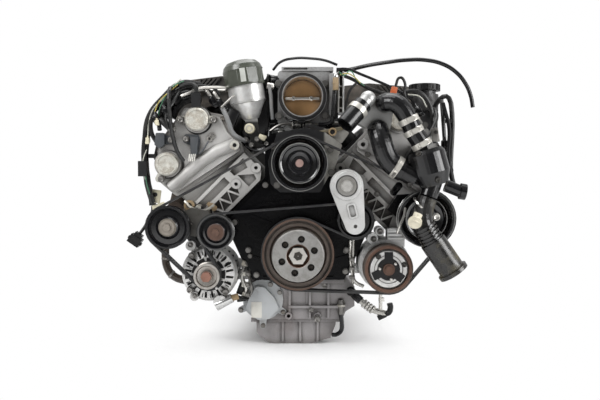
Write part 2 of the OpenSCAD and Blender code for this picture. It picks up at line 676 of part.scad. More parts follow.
module front_cover() color([0.11, 0.11, 0.12]) difference() {
    union() {
        slab(block_front, cover_face - 18) polygon(front_outline);
        slab(cover_face - 18, cover_face) rounded(5) offset(delta = -9) polygon(front_outline);
        for (p = cover_bolt_spots) bar(p, cover_face - 18, cover_face + 3, cover_bolt_r + 4);
        // Seal boss round the crank, and stiffening ribs
        bar([0, 0], cover_face, cover_face + 6, seal_r + 16);
        for (s = [-1, 1]) {
            slab(cover_face, cover_face + 7) polygon([for (p = [[14, 116], [84, 108], [128, 86], [126, 80],
                [82, 101],
                [14, 109]]) [s * p.x, p.y]]);
            slab(cover_face, cover_face + 5) polygon([for (p = [[58, 66], [104, 84], [108, 79], [62, 60]])
                [s * p.x, p.y]]);
            slab(cover_face, cover_face + 5) polygon([for (p = [[70, -16], [112, -4], [113, -10], [71, -22]])
                [s * p.x, p.y]]);
        }
    }
    bar([0, 0], block_front - 1, cover_face + 7, seal_r);
    for (s = [-1, 1]) slab(cover_face - 6, cover_face + 1) translate([s * 70, -52])
        square([16, 5], center = true);
}

pump_front = belt_back - 7;
module water_pump_body() color("silver") difference() {
    union() {
        slab(cover_face, cover_face + 10) rounded(5) polygon([[-60, 150], [-40, 132], [48, 132], [66, 166],
            [80, 184], [96, 236], [60, 262], [18, 274], [-46, 262], [-66, 200]]);
        taper(pump_pos, cover_face, pump_front, 46, 34);
        for (p = [[72, 176], [70, 224], [-52, 232], [-46, 148]]) bar(p, cover_face, cover_face + 14, 9);
        // Bracket arm towards the tensioner, with its two lugs
        slab(cover_face - 20, cover_face) rounded(4) polygon([[20, 264], [12, 276], [30, 282], [70, 268],
            [100, 276], [112, 262], [96, 240], [76, 238], [76, 264]]);
        for (p = [[22, 272], [77, 262]]) bar(p, cover_face - 20, cover_face + 4, 9);
    }
    bar(pump_pos, cover_face - 1, pump_front + 1, shaft_r + bearing_fit);
    for (p = [[22, 272], [77, 262]]) bar(p, cover_face - 21, cover_face + 5, 4.5);
}

// A pulley that a pump shaft carries, dished towards the front
module dished_pulley(p, r, rim, dish, neck) difference() {
    half = rim_half;
    union() {
        turned(p, belt_plane) polygon(concat(rim, [[r - 4, half], [r - 7, half - 3], [r - 9, half - 8],
            [dish + 5, half - 12], [dish + 1, half - 3], [dish - 2, half], [dish - 5, half - 2],
            [dish - 7, half - 8], [neck + 4, half - 10], [neck + 1, half - 2], [neck - 2, half + 1],
            [neck - 8, half], [neck - 9, half - 3], [0, half - 3], [0, half - 16], [neck, half - 16],
            [dish - 4, half - 15], [dish + 4, half - 18], [r - 8, half - 14], [r - 8, -half]]));
        bar(p, rim_back, belt_plane, neck - 6);
        bar(p, belt_back - 22, belt_plane, shaft_r);
        hex_head(p, rim_front - 4, 7, 14);
    }
}
module water_pump_pulley() color([0.07, 0.07, 0.08])
    dished_pulley(pump_pos, pump_r, grooved_rim(pump_r), 43, 24);

// ---- Intake ----

plenum_rear = 64;
// Height of the runners over the crank in a bank's own frame, and where they meet the plenum's floor
runner_u = deck_height + 42;
runner_end = (plenum_floor - runner_u * cos(bank_tilt)) / sin(bank_tilt);
plenum_outline = both_sides([[0, plenum_floor], [-plenum_half + 8, plenum_floor],
    [-plenum_half, plenum_floor + 9], [-plenum_half, plenum_top - 22], [-plenum_half + 22, plenum_top]]);

module intake_manifold() color([0.2, 0.2, 0.21]) difference() {
    union() {
        slab(plenum_rear, plenum_front) polygon(plenum_outline);
        slab(plenum_front - 10, plenum_front) rounded(6) translate(throttle_pos)
            square([130, 118], center = true);
        for (i = [0:7]) slab(plenum_rear + 12 + i * 44, plenum_rear + 18 + i * 44)
            offset(delta = 4) polygon(plenum_outline);
        for (side = [-1, 1], i = [0:3]) bank(side) {
            translate([deck_half, -bay_at(i), runner_u]) rotate([0, 90, 0])
                cylinder(r = runner_r, h = runner_end - deck_half);
            translate([deck_half, -bay_at(i) - 38, deck_height + 14]) cube([8, 76, 56]);
        }
    }
    // Chamber behind the throttle
    slab(plenum_rear + plenum_wall, plenum_front - 20) offset(delta = -plenum_wall) polygon(plenum_outline);
    bar(throttle_pos, plenum_front - 30, plenum_front + 1, throttle_bore_r + 2);
}

body_left = -47;
body_right = 74;
body_base = 284;
body_top = 408;
module throttle_body() color("silver") difference() {
    union() {
        slab(plenum_front, throttle_front - 44) rounded(9) translate([body_left, body_base])
            square([body_right - body_left, body_top - body_base]);
        bar(throttle_pos, throttle_front - 44, throttle_front - 8, throttle_bore_r + 9);
        bar(throttle_pos, throttle_front - 16, throttle_front - 8, throttle_spigot_r + 6);
        bar(throttle_pos, throttle_front - 8, throttle_front, throttle_spigot_r);
        // Top rail with its slot, and the actuator case on the right
        slab(plenum_front, throttle_front - 40) translate([-38, body_top - 1]) square([118, 9]);
        slab(plenum_front + 8, throttle_front - 26) rounded(5) translate([body_right - 4, body_base + 20])
            square([14, 96]);
        for (x = [body_left + 3, body_right - 13]) for (z = [body_base + 20, body_top - 31])
            bar([x, z], throttle_front - 44, throttle_front - 34, 9);
        for (s = [-1, 1]) translate([throttle_pos.x + s * (throttle_bore_r + 4), -throttle_shaft,
            throttle_pos.y])
            rotate([0, 90, 0]) cylinder(r = throttle_shaft_r + 5, h = 16, center = true);
    }
    bar(throttle_pos, plenum_front - 1, throttle_front + 1, throttle_bore_r);
    translate([throttle_pos.x - throttle_bore_r - 9, -throttle_shaft, throttle_pos.y]) rotate([0, 90, 0])
        cylinder(r = throttle_shaft_r + bearing_fit, h = 2 * throttle_bore_r + 18);
    slab(throttle_front - 46, throttle_front - 39) translate([-33, body_top + 2]) square([54, 4]);
}

module throttle_plate() color([0.62, 0.45, 0.24]) {
    translate([throttle_pos.x, -throttle_shaft, throttle_pos.y]) {
        rotate([90, 0, 0]) cylinder(r = throttle_bore_r - 0.4, h = plate_t, center = true);
        rotate([0, 90, 0]) cylinder(r = throttle_shaft_r, h = 2 * throttle_bore_r + 15, center = true);
        for (x = [-20, 19]) translate([x, -throttle_shaft_r + 0.5, 0]) rotate([90, 0, 0])
            cylinder(r = 3, h = 2.2);
    }
}

valve_z = body_base - 9;
module purge_valve() color("gainsboro") {
    for (v = [[-34, -8, 8], [-6, 30, 9], [32, 52, 7]])
        translate([v[0], -throttle_front + 52, valve_z]) rotate([0, 90, 0])
            cylinder(r = v[2], h = v[1] - v[0]);
    translate([-30, -throttle_front + 44, valve_z - 5]) cube([76, 16, 14]);
    strut([-60, -throttle_front + 52, valve_z - 2], [-30, -throttle_front + 52, valve_z], 3.5);
    strut([50, -throttle_front + 52, valve_z], [72, -throttle_front + 52, valve_z - 3], 4);
}

// ---- Oil filter ----

module canister() translate([filter_foot.x, -filter_forward, filter_foot.y]) rotate([0, -filter_lean, 0])
    children();
filter_bore = filter_cap_r - 8;
module oil_filter_housing() color("silver") {
    can_r = filter_cap_r - 5;
    canister() rotate_extrude() polygon([[0, 0], [17, 0], [22, 7], [can_r - 4, 34], [can_r - 1.5, 36],
        [can_r - 1.5, 38], [can_r, 39], [can_r, filter_body_h], [filter_bore, filter_body_h],
        [filter_bore, 40], [24, 30], [0, 30]]);
    slab(filter_forward - 16, filter_forward + 6)
        polygon([bank_pt(150, deck_half), bank_pt(deck_height - 3, deck_half),
        filter_foot + [-16, 3], filter_foot + [14, 3], bank_pt(deck_height + 3, deck_half + 25),
        bank_pt(158, deck_half + 2)]);
}
module oil_filter_element() color("wheat") canister() translate([0, 0, 41]) difference() {
    cylinder(r = filter_bore - 4, h = filter_body_h + filter_cap_h - 62);
    translate([0, 0, -1]) cylinder(r = 10, h = filter_body_h + filter_cap_h);
}
module oil_filter_cap() color([0.2, 0.22, 0.2]) canister() translate([0, 0, filter_body_h + run_gap])
    difference() {
    rotate_extrude() polygon([[0, filter_cap_h], [20, filter_cap_h - 1],
        [filter_cap_r - 12, filter_cap_h - 5],
        [filter_cap_r - 4, filter_cap_h - 13], [filter_cap_r, filter_cap_h - 24], [filter_cap_r, 0],
        [filter_bore - run_gap, 0], [filter_bore - run_gap, -14], [filter_bore - 3, -14],
        [filter_bore - 3, filter_cap_h - 20], [filter_bore - 10, filter_cap_h - 9], [0, filter_cap_h - 6]]);
    // Flats for the spanner
    for (a = [0:60:300]) rotate(a) translate([filter_cap_r - 1.6, -30, 4]) cube([10, 60, filter_cap_h - 28]);
}

// ---- Alternator ----

case_r = 62;
case_back = 438;
case_front = belt_back - 8;
module alternator_body() color("silver") difference() {
    union() {
        turned(alternator_pos, case_back) polygon([[0, 0], [case_r - 12, 0], [case_r - 4, 6], [case_r, 18],
            [case_r, case_front - case_back - 22], [case_r - 6, case_front - case_back - 12],
            [34, case_front - case_back - 2], [20, case_front - case_back], [0, case_front - case_back]]);
        for (e = [[-40, 62, 11], [-32, -50, 10], [24, -60, 13]]) {
            bar(alternator_pos + [e[0], e[1]], case_front - 44, case_front - 6, e[2]);
            slab(case_front - 40, case_front - 18) translate(alternator_pos) rotate(atan2(e[1], e[0]))
                translate([0, -8]) square([norm([e[0], e[1]]), 16]);
        }
        // Lugs that bolt to the side of the block
        for (z = [-20, 6]) translate([alternator_pos.x, -block_front + 2, alternator_pos.y + z])
            cube([-crankcase_half - (z < 0 ? 6 : 10) - alternator_pos.x, 28, 20]);
    }
    bar(alternator_pos, case_front - 30, case_front + 1, shaft_r + bearing_fit);
    // Cooling slots round the front and the rim
    for (p = ring_of(20, 46, 9)) slab(case_front - 24, case_front + 1) translate(alternator_pos + p)
        rotate(atan2(p.y, p.x)) square([16, 5], center = true);
    for (a = [0:12:348]) slab(case_front - 52, case_front - 26) translate(alternator_pos)
        rotate(a) translate([case_r - 3, -2.5]) square([8, 5]);
}
module alternator_rotor() color("silver") {
    turned(alternator_pos, belt_plane) polygon(concat(grooved_rim(alternator_r),
        [[alternator_r - 5, rim_half], [alternator_r - 7, belt_w / 2 - 3], [13, belt_w / 2 - 4],
            [12, rim_half], [0, rim_half], [0, -rim_half]]));
    bar(alternator_pos, case_front - 28, belt_plane, shaft_r);
    hex_head(alternator_pos, rim_front, 10, 20);
}

// ---- Air compressor ----

compressor_back = 420;
compressor_case_front = belt_back - 12;
compressor_nose_r = 20;
module compressor_body() color("silver") {
    turned(compressor_pos + [-4, 5], compressor_back) polygon([[0, 0], [44, 0], [50, 6],
        [50, 60], [57, 64], [57, compressor_case_front - compressor_back - 4],
        [53, compressor_case_front - compressor_back], [0, compressor_case_front - compressor_back]]);
    bar(compressor_pos, compressor_case_front - 2, belt_front, compressor_nose_r);
    // Hose block and mounting arms
    translate([compressor_pos.x + 2, -compressor_case_front, compressor_pos.y + 44]) cube([38, 34, 40]);
    for (i = [0:2]) translate([compressor_pos.x + 2, -compressor_case_front - 3,
        compressor_pos.y + 60 + i * 8])
        cube([38, 3, 4]);
    for (p = [[-30, 62, 12], [-14, 78, 10]]) {
        bar(compressor_pos + [p[0], p[1]], compressor_case_front - 40, compressor_case_front, p[2]);
        slab(compressor_case_front - 34, compressor_case_front - 8) translate(compressor_pos)
            rotate(atan2(p[1], p[0])) translate([0, -7]) square([norm([p[0], p[1]]), 14]);
    }
    for (z = [-22, 16]) translate([crankcase_half + (z < 0 ? 7 : 13), -block_front + 2, compressor_pos.y + z])
        cube([compressor_pos.x - crankcase_half - 13, 28, 20]);
}
module compressor_pulley() color("saddlebrown") turned(compressor_pos, belt_plane) polygon(concat(
    [[compressor_nose_r + bearing_fit, belt_w / 2 - 4], [compressor_nose_r + bearing_fit, -belt_w / 2 + 1],
        [compressor_r - 9, -belt_w / 2 + 1], [compressor_r - 9, -rim_half]], grooved_rim(compressor_r),
    [[compressor_r - 4, rim_half + 2], [compressor_r - 9, rim_half + 2], [compressor_r - 12, belt_w / 2 - 2],
        [26, belt_w / 2 - 4]]));
clutch_back = belt_front + 0.6;
module compressor_clutch_plate() color([0.1, 0.1, 0.1]) {
    turned(compressor_pos, clutch_back) polygon([[0, 0], [39, 0], [39, 5], [31, 5], [31, 2], [29, 2], [29, 5],
        [0, 5]]);
    for (a = [90, 205, 325]) slab(clutch_back + 4, clutch_back + 7) translate(compressor_pos)
        rotate(a) translate([0, -9]) square([37, 18]);
    bar(compressor_pos, clutch_back + 4, clutch_back + 11, 13);
    for (p = ring_of(3, 20, 35)) bar(compressor_pos + p, clutch_back + 4, clutch_back + 9, 4);
    hex_head(compressor_pos, clutch_back + 11, 5, 15);
}

// ---- Steering pump ----

module steering_pump_body() color([0.3, 0.3, 0.31]) difference() {
    union() {
        bar(steering_pos, casting_front + run_gap, belt_back - 10, 44);
        taper(steering_pos, belt_back - 10, belt_back - 5, 30, 22);
        slab(casting_front + run_gap, belt_back - 18) translate(steering_pos) polygon([[-50, -6], [-78, 18],
            [-56, 50], [-20, 52], [20, -30]]);
        bar(steering_pos, casting_front - 70, casting_front + 4, 20);
    }
    bar(steering_pos, belt_back - 34, belt_back, shaft_r + bearing_fit);
}
module steering_pump_pulley() color([0.07, 0.07, 0.08])
    dished_pulley(steering_pos, steering_r, grooved_rim(steering_r), 44, 24);

// ---- Idlers and tensioner ----

bracket_front = belt_back - 18;
module idler_post(p) {
    bar(p, bracket_front, rim_back - run_gap, idler_pin_r + 5);
    bar(p, bracket_front, rim_front + 2, idler_pin_r);
    bar(p, rim_front + run_gap, rim_front + 3, idler_pin_r + 8);
    hex_head(p, rim_front + 3, 6, 15);
}
module idler_bracket() color([0.45, 0.44, 0.42]) {
    slab(bracket_front - 14, bracket_front) rounded(4) polygon([idler_pos + [-16, 14], idler_pos + [-16, -14],
        idler_pos + [16, -18], smooth_pos + [-14, -18], smooth_pos + [16, -12], smooth_pos + [16, 16],
        smooth_pos + [-26, 44], idler_pos + [46, 40], idler_pos + [4, 22]]);
    slab(casting_front, bracket_front) rounded(3) polygon([idler_pos + [42, 4], idler_pos + [82, 6],
        idler_pos + [84, 34], idler_pos + [46, 34]]);
    idler_post(idler_pos);
    idler_post(smooth_pos);
}
module idler(p, r, rim, hub) turned(p, belt_plane) polygon(concat(
    [[idler_pin_r + bearing_fit, rim_half], [idler_pin_r + bearing_fit, -rim_half],
        [hub - 2, -rim_half], [hub, -belt_w / 2 + 4], [r - 10, -belt_w / 2 + 4], [r - 9, -rim_half]],
    rim, [[r - 4, rim_half], [r - 7, belt_w / 2 - 3], [r - 10, belt_w / 2 - 6], [hub + 6, belt_w / 2 - 5],
        [hub + 2, belt_w / 2], [hub - 1, rim_half]]));
module grooved_idler() color([0.08, 0.08, 0.09]) idler(idler_pos, idler_r, grooved_rim(idler_r), 20);
module smooth_idler() color([0.08, 0.08, 0.09]) idler(smooth_pos, smooth_r, smooth_rim(smooth_r), 18);

arm_back = belt_front + 10;
module tensioner_base() color([0.62, 0.63, 0.64]) {
    difference() {
        slab(casting_front + 4, cover_face + 6) translate(pivot_pos) rounded(5)
            polygon([[-8, 10], [-4, 34], [44, 22], [52, -6], [30, -14], [8, -4]]);
        // Clearance to the edge of the front cover
        slab(cover_face - 18, cover_face + run_gap) offset(delta = run_gap - 9) polygon(front_outline);
        slab(block_front, cover_face - 18 + run_gap) offset(delta = run_gap) polygon(front_outline);
    }
    bar(pivot_pos, cover_face + 0.5, arm_back - run_gap, arm_r - 3);
    bar(pivot_pos, arm_back - 2, arm_back + arm_t + 4, pivot_r);
    bar(pivot_pos, arm_back + arm_t + run_gap + 3, arm_back + arm_t + 6, 20);
    hex_head(pivot_pos, arm_back + arm_t + 6, 6, 20);
}
arm_tip = tension_pos + [-3, -6];
module tensioner_arm() color("silver") difference() {
    union() {
        slab(arm_back, arm_back + arm_t) hull() {
            translate(pivot_pos) circle(arm_r, $fn = 72);
            translate(arm_tip) circle(arm_tip_r, $fn = 48);
        }
        turned(pivot_pos, arm_back + arm_t) polygon([[21, 0], [31, 0], [29, 3], [23, 3]]);
        // Raised rim of the slot in the arm
        slab(arm_back + arm_t, arm_back + arm_t + 2.5) translate((pivot_pos + arm_tip) / 2 + [3, -12])
            rotate(-76) rounded(5) square([32, 19], center = true);
        bar(tension_pos, rim_back - 2, arm_back, tension_pin_r);
        bar(tension_pos, rim_front + run_gap, arm_back, tension_pin_r + 6);
        bar(tension_pos, rim_back - 4, rim_back - run_gap, tension_pin_r + 4);
    }
    bar(pivot_pos, arm_back - 1, arm_back + arm_t + 4, pivot_r + bearing_fit);
    slab(arm_back + arm_t - 3, arm_back + arm_t + 3) translate((pivot_pos + arm_tip) / 2 + [3, -12])
        rotate(-76) rounded(4) square([25, 12], center = true);
    bar(arm_tip + [1, -4], arm_back + arm_t - 5, arm_back + arm_t + 1, 4);
}
module tensioner_pulley() color([0.08, 0.08, 0.09]) turned(tension_pos, belt_plane) polygon(concat(
    [[tension_pin_r + bearing_fit, rim_half], [tension_pin_r + bearing_fit, -rim_half],
        [16, -rim_half], [17, -belt_w / 2 + 4], [tension_r - 10, -belt_w / 2 + 4],
        [tension_r - 9, -rim_half]], smooth_rim(tension_r),
    [[tension_r - 4, rim_half], [tension_r - 8, belt_w / 2 - 4], [20, belt_w / 2 - 4], [17, rim_half]]));

// The belt runs anticlockwise; a station is [place, seat radius, +1 inside the loop or -1 outside]
stations = [[[0, 0], damper_r - rim_lip, 1], [compressor_pos, compressor_r - rim_lip, 1],
    [steering_pos, steering_r - rim_lip, 1], [pump_pos, pump_r - rim_lip, 1],
        [idler_pos, idler_r - rim_lip, 1],
    [alternator_pos, alternator_r - rim_lip, 1], [smooth_pos, smooth_r - rim_lip, -1],
    [tension_pos, tension_r - rim_lip, -1]];
// Signed radius of the belt at depth d from its inner face
function seat_at(s, d) = s[2] > 0 ? s[1] + run_gap + d : -(s[1] + run_gap + belt_t - d);
function run_angle(a, b, d) = let (v = b[0] - a[0])
    atan2(v.y, v.x) + asin((seat_at(a, d) - seat_at(b, d)) / norm(v));
function belt_face(d) = let (n = len(stations)) [for (i = [0:n - 1]) let (
    s = stations[i],
    start = run_angle(stations[(i + n - 1) % n], s, d),
    turn = run_angle(s, stations[(i + 1) % n], d) - start,
    sweep = s[2] > 0 ? (turn % 360 + 360) % 360 : -((-turn % 360 + 360) % 360),
    steps = max(2, ceil(abs(sweep) / 12)),
    step = sweep / steps)
    for (k = [0:steps - 1]) let (a = start - 90 + (k + 0.5) * step)
        s[0] + seat_at(s, d) / cos(step / 2) * [cos(a), sin(a)]];
module drive_belt() color([0.12, 0.12, 0.12]) slab(belt_back, belt_front) difference() {
    polygon(belt_face(belt_t));
    polygon(belt_face(0));
}

// ---- Coolant parts ----

hose_forward = 618;
// Clear of the round caps on the drive covers
caps_front = drive_cover_face + 5 + actuator_h + run_gap;
// A point of a hose is [x, z], or [x, z, distance behind the plane of the hoses]
upper_route = [[184, 322, 27], [184, 322, 20], [188, 322, 11], [198, 321.5, 4], [210, 315], [221, 302],
    [231, 284], [241, 261],
    [254, 241], [262, 227]];
lower_route = [[170, 264, 27], [170, 264, 20], [170.5, 260, 12], [172, 249, 4], [176, 233], [182, 215],
    [192, 198], [206, 186],
    [220, 178]];
bypass_route = [[136, -610, 318], [97, -632, 273]];
function at_hoses(p) = [p.x, -hose_forward + (len(p) > 2 ? p.z : 0), p.y];
thermostat_top = [264, 228];
thermostat_foot = [286, 150];

module coolant_crossover() color("silver") {
    for (p = [[178, 262], [158, 284]]) bar(p, drive_cover_face, caps_front + 2, 8);
    slab(caps_front, hose_forward - 30) rounded(6) polygon([[112, 322], [128, 332], [192, 340], [204, 318],
        [200, 286], [192, 246], [166, 240], [150, 268], [118, 284]]);
    bar([upper_route[0].x, upper_route[0].y], hose_forward - 32, hose_forward - 24, upper_hose_r - 4);
    bar([lower_route[0].x, lower_route[0].y], hose_forward - 32, hose_forward - 24, lower_hose_r - 4);
    elbow = bypass_route[0] - 0.28 * (bypass_route[1] - bypass_route[0]);
    bar([elbow.x, elbow.z - 3], hose_forward - 32, -elbow.y - 3, bypass_r - 5);
    translate(elbow) sphere(r = bypass_r - 3);
    strut(elbow, bypass_route[0] + 0.55 * (bypass_route[1] - bypass_route[0]), bypass_r - 4 - run_gap);
}
module bypass_hose() color([0.1, 0.1, 0.1]) difference() {
    strut(bypass_route[0], bypass_route[1], bypass_r);
    strut(bypass_route[0] - (bypass_route[1] - bypass_route[0]) * 0.1,
        bypass_route[1] + (bypass_route[1] - bypass_route[0]) * 0.1, bypass_r - 4);
}
module upper_hose() color([0.1, 0.1, 0.1]) difference() {
    tube([for (p = upper_route) at_hoses(p)], upper_hose_r, 24, 3);
    bar([upper_route[0].x, upper_route[0].y], hose_forward - 40, hose_forward - 23,
        upper_hose_r - 4 + run_gap);
}
module lower_hose() color([0.1, 0.1, 0.1]) difference() {
    tube([for (p = lower_route) at_hoses(p)], lower_hose_r, 24, 3);
    bar([lower_route[0].x, lower_route[0].y], hose_forward - 40, hose_forward - 23,
        lower_hose_r - 4 + run_gap);
}
// A band round a hose; p is its middle, a its tilt from upright
module clamp(p, tilt, r) translate(at_hoses(p)) rotate([0, tilt, 0]) {
    difference() {
        cylinder(r = r + clamp_t, h = clamp_w, center = true);
        cylinder(r = r + 1, h = clamp_w + 1, center = true);
    }
    translate([0, -r - clamp_t - 5, 0]) cube([16, 9.2, clamp_w - 2], center = true);
    translate([0, -r - clamp_t - 5, 0]) rotate([0, 90, 0]) cylinder(r = 3.5, h = 26, center = true);
}
module hose_clamps() color("gainsboro") {
    clamp(upper_route[6], 154, upper_hose_r);
    clamp(upper_route[7], 152, upper_hose_r);
    clamp([258, 234], 150, upper_hose_r);
    clamp(lower_route[7], 122, lower_hose_r);
    translate(bypass_route[0] + 0.3 * (bypass_route[1] - bypass_route[0]))
        rotate([0, acos(45 / norm([39, 22, 45])) + 180,
        atan2(22, 39)]) difference() {
        cylinder(r = bypass_r + clamp_t, h = clamp_w, center = true);
        cylinder(r = bypass_r + 0.4, h = clamp_w + 1, center = true);
    }
}
module thermostat_housing() color([0.12, 0.12, 0.13]) {
    axis = unit(thermostat_foot - thermostat_top);
    hull() for (d = [[0, thermostat_r - 5], [8, thermostat_r], [48, thermostat_r], [74, thermostat_r - 10]])
        translate(at_hoses(thermostat_top + axis * (d[0] + 6))) rotate([0, atan2(axis.x, axis.y), 0])
            cylinder(r = d[1], h = 2, $fn = 32);
    inlet = unit(lower_route[8] - lower_route[7]);
    strut(at_hoses(lower_route[8] + inlet), at_hoses(lower_route[8] + inlet * 30), lower_hose_r - 3);
    // Foot on two bosses that stand on the right drive cover
    slab(caps_front, hose_forward - 24) rounded(4) polygon([[228, 204], [250, 240], [272, 236], [290, 190],
        [262, 168]]);
    for (p = [[245, 215], [262, 232]]) bar(p, drive_cover_face, caps_front + 2, 8);
    strut([thermostat_foot.x + 24, -hose_forward + 6, thermostat_foot.y - 2],
        [thermostat_foot.x + 54, -hose_forward + 6, thermostat_foot.y - 14], 13);
    strut([thermostat_foot.x + 54, -hose_forward + 6, thermostat_foot.y - 14],
        [thermostat_foot.x + 66, -hose_forward + 6, thermostat_foot.y - 16], 17);
    strut(at_hoses(thermostat_foot + [-3, 6]), [272, -621, 125], 19);
}
outlet_route = [[271, -622, 122], [264, -624, 104], [258, -638, 82], [262, -645, 60], [277, -645, 34],
    [300, -645, 0], [322, -645, -32]];
module coolant_outlet() color([0.33, 0.32, 0.3]) difference() {
    union() {
        tube([for (i = [0:4]) outlet_route[i]], outlet_r - 7, 20, 2);
        for (i = [0:4]) let (a = outlet_route[3] + (outlet_route[4] - outlet_route[3]) * (i - 0.6) / 4,
            b = outlet_route[3] + (outlet_route[4] - outlet_route[3]) * (i - 0.1) / 4)
                strut(a, b, outlet_r - 3);
        strut(outlet_route[4], outlet_route[6], outlet_r);
        strut(outlet_route[6] - unit(outlet_route[6] - outlet_route[4]) * 8, outlet_route[6], outlet_r + 5);
    }
    strut(outlet_route[4] + [4, 0, -6], outlet_route[6] + (outlet_route[6] - outlet_route[5]), outlet_r - 5);
}

tank_foot_back = tank_pos[1] - 16;
module expansion_tank() color([0.1, 0.1, 0.11]) difference() {
    union() {
        translate([tank_pos[0], -tank_pos[1], tank_top - 46]) cylinder(r = tank_cap_r - 4, h = 38);
        translate([tank_pos[0], -tank_pos[1], tank_top - 9]) cylinder(r = tank_cap_r - 10, h = 9);
        slab(tank_foot_back, tank_foot_back + 36) polygon(concat([for (v = [-20, -58])
            mirrored(bank_pt(head_top + cam_cover_h + 2, v))], [[tank_pos[0] + 27, tank_top - 44],
            [tank_pos[0] - 22, tank_top - 44]]));
    }
    translate([tank_pos[0], -tank_pos[1], tank_top - 40]) cylinder(r = tank_cap_r - 13, h = 44);
}
module tank_cap() color([0.08, 0.08, 0.09]) translate([tank_pos[0], -tank_pos[1], tank_top + run_gap]) {
    cylinder(r = tank_cap_r - 2, h = tank_cap_h);
    for (a = [0:20:340]) rotate(a) translate([tank_cap_r - 5, -4, 0]) cube([5, 8, tank_cap_h - 1]);
    translate([0, 0, -12]) cylinder(r = tank_cap_r - 13 - run_gap, h = 13);
}

// ---- Wiring and pipes ----

left_loom = [[-262, -439.3, 366], [-263, -462, 370], [-285, -490, 358], [-303, -500, 336], [-328, -505, 312],
    [-338, -505, 272], [-345, -505, 215], [-340, -502, 150], [-331, -500, 116], [-330, -500, 101]];
module left_harness() color([0.1, 0.1, 0.1]) {
    tube(left_loom, 8, 10, 2);
    tube([[-281, -498, 362], [-281, -530, 362], [-280, -556, 352], [-279, -562, 312], [-274, -560, 262],
        [-264, -556, 222], [-250, -552, 200]], 4.5, 8, 2);
    translate([-334.4, -518, 208]) cube([16, 12, 9]);
}
right_loom = [[306, -476.3, 300], [309, -487, 322], [318, -505, 340], [331, -512, 346], [341, -514, 330],
    [344, -516, 280], [341, -520, 225], [338, -530, 180], [338, -560, 150]];
module right_harness() color([0.1, 0.1, 0.1]) {
    tube(right_loom, 5.5, 10, 2);
    tube([[320, -514, 338], [322, -520, 300], [325, -524, 250], [326, -530, 215]], 4.5, 8, 2);
    for (z = [238, 290]) translate([333, -516, z]) cube([24, 14, 8], center = true);
}
module actuator_plug(top) translate(upper_actuator)
    polygon([[-10, actuator_r + run_gap], [8, actuator_r + run_gap], [9, top], [-12, top]]);
module connectors() {
    color([0.12, 0.12, 0.13]) {
        // Plug on the upper left actuator, and the box on the left harness
        slab(drive_cover_face + 6, drive_cover_face + 18) actuator_plug(58);
        translate([-354, -536.6, 167]) cube([19, 24, 34]);
        // Actuator plugs on the right bank
        slab(drive_cover_face + 6, drive_cover_face + 18) mirror([1, 0]) actuator_plug(44);
    }
    color([0.85, 0.83, 0.74]) {
        strut([244, -666, 92], [236, -669, 74], 9);
        strut([237, -668, 76], [236, -673, 73], 14);
    }
}
module metal_pipes() color("silver") {
    tube([[-262, -442, 350], [-250, -442, 350], [-236, -442, 362], [-222, -442, 367], [-150, -442, 366]],
        3.5, 10, 3);
    // Compressor pipes beside the front cover
    tube([[121, -550.3, 28], [120.5, -550.3, 0], [120, -550.3, -40], [124, -550.3, -64],
        [144, -550.3, -75]], 4, 10, 3);
    // Drain pipe under the compressor, with its bellows
    tube([[120, -501.5, -92], [120, -510, -93], [130, -524, -104], [144, -528, -114], [166, -528, -131],
        [196, -528, -140]], 7, 12, 3);
    for (i = [0:3]) strut([146 + i * 6, -528, -116 - i * 4.4], [149 + i * 6, -528, -118.2 - i * 4.4], 10);
    strut([184, -528, -136], [184, -528, -86], 4);
}

function bank_bolts(side) = [for (p = [[0, 176]])
    let (q = bank_pt(deck_height + p.y, p.x)) [side < 0 ? q.x : -q.x, q.y]];
module bolt(p, back, flats = 11) {
    bar(p, back, back + 2, flats * 0.72);
    hex_head(p, back + 2, 6, flats);
}
module cover_bolts() color("lightgray") {
    for (side = [-1, 1]) for (p = bank_bolts(side)) bolt(p, drive_cover_face, 10);
    for (p = cover_bolt_spots) bolt(p, cover_face + 3, 2 * cover_bolt_r - 2);
    for (x = [body_left + 3, body_right - 13]) for (z = [body_base + 20, body_top - 31])
        bolt([x, z], throttle_front - 34, 11);
    for (p = [[72, 176], [70, 224], [-52, 232], [-46, 148]]) bolt(p, cover_face + 14, 10);
    for (e = side_cover_ears) bolt(side_cover_pos + e, sump_front + 4, 8);
}

module vent_hose() color([0.08, 0.08, 0.08]) tube(vent_route, vent_hose_d / 2, 8, 2);
module sensor_lead() color([0.1, 0.1, 0.1]) tube(lead_route, sensor_lead_d / 2, 8, 2);
module lead_connector() color([0.12, 0.12, 0.13]) translate([-353.4, -525, 39.4]) rotate([0, 35, 0]) {
    translate([-9, -9, -8]) cube([18, 18, 8]);
    translate([-14, -11, -28]) cube([28, 22, 20]);
    translate([-17, -5, -22]) cube([34, 10, 6]);
}

engine_block();
crankshaft();
crank_damper();
crank_bolt();
sump_upper();
sump_lower();
side_cover();
left_head();
right_head();
left_cam_cover();
right_cam_cover();
left_drive_cover();
right_drive_cover();
cam_actuators();
sensors();
ignition_coils();
coil_covers();
left_exhaust_manifold();
right_exhaust_manifold();
front_cover();
water_pump_body();
water_pump_pulley();
intake_manifold();
throttle_body();
throttle_plate();
purge_valve();
oil_filter_housing();
oil_filter_element();
oil_filter_cap();
alternator_body();
alternator_rotor();
compressor_body();
compressor_pulley();
compressor_clutch_plate();
steering_pump_body();
steering_pump_pulley();
idler_bracket();
grooved_idler();
smooth_idler();
tensioner_base();
tensioner_arm();
tensioner_pulley();
drive_belt();
thermostat_housing();
upper_hose();
lower_hose();
bypass_hose();
hose_clamps();
coolant_crossover();
coolant_outlet();
expansion_tank();
tank_cap();
left_harness();
right_harness();
connectors();
metal_pipes();
cover_bolts();
vent_hose();
sensor_lead();
lead_connector();
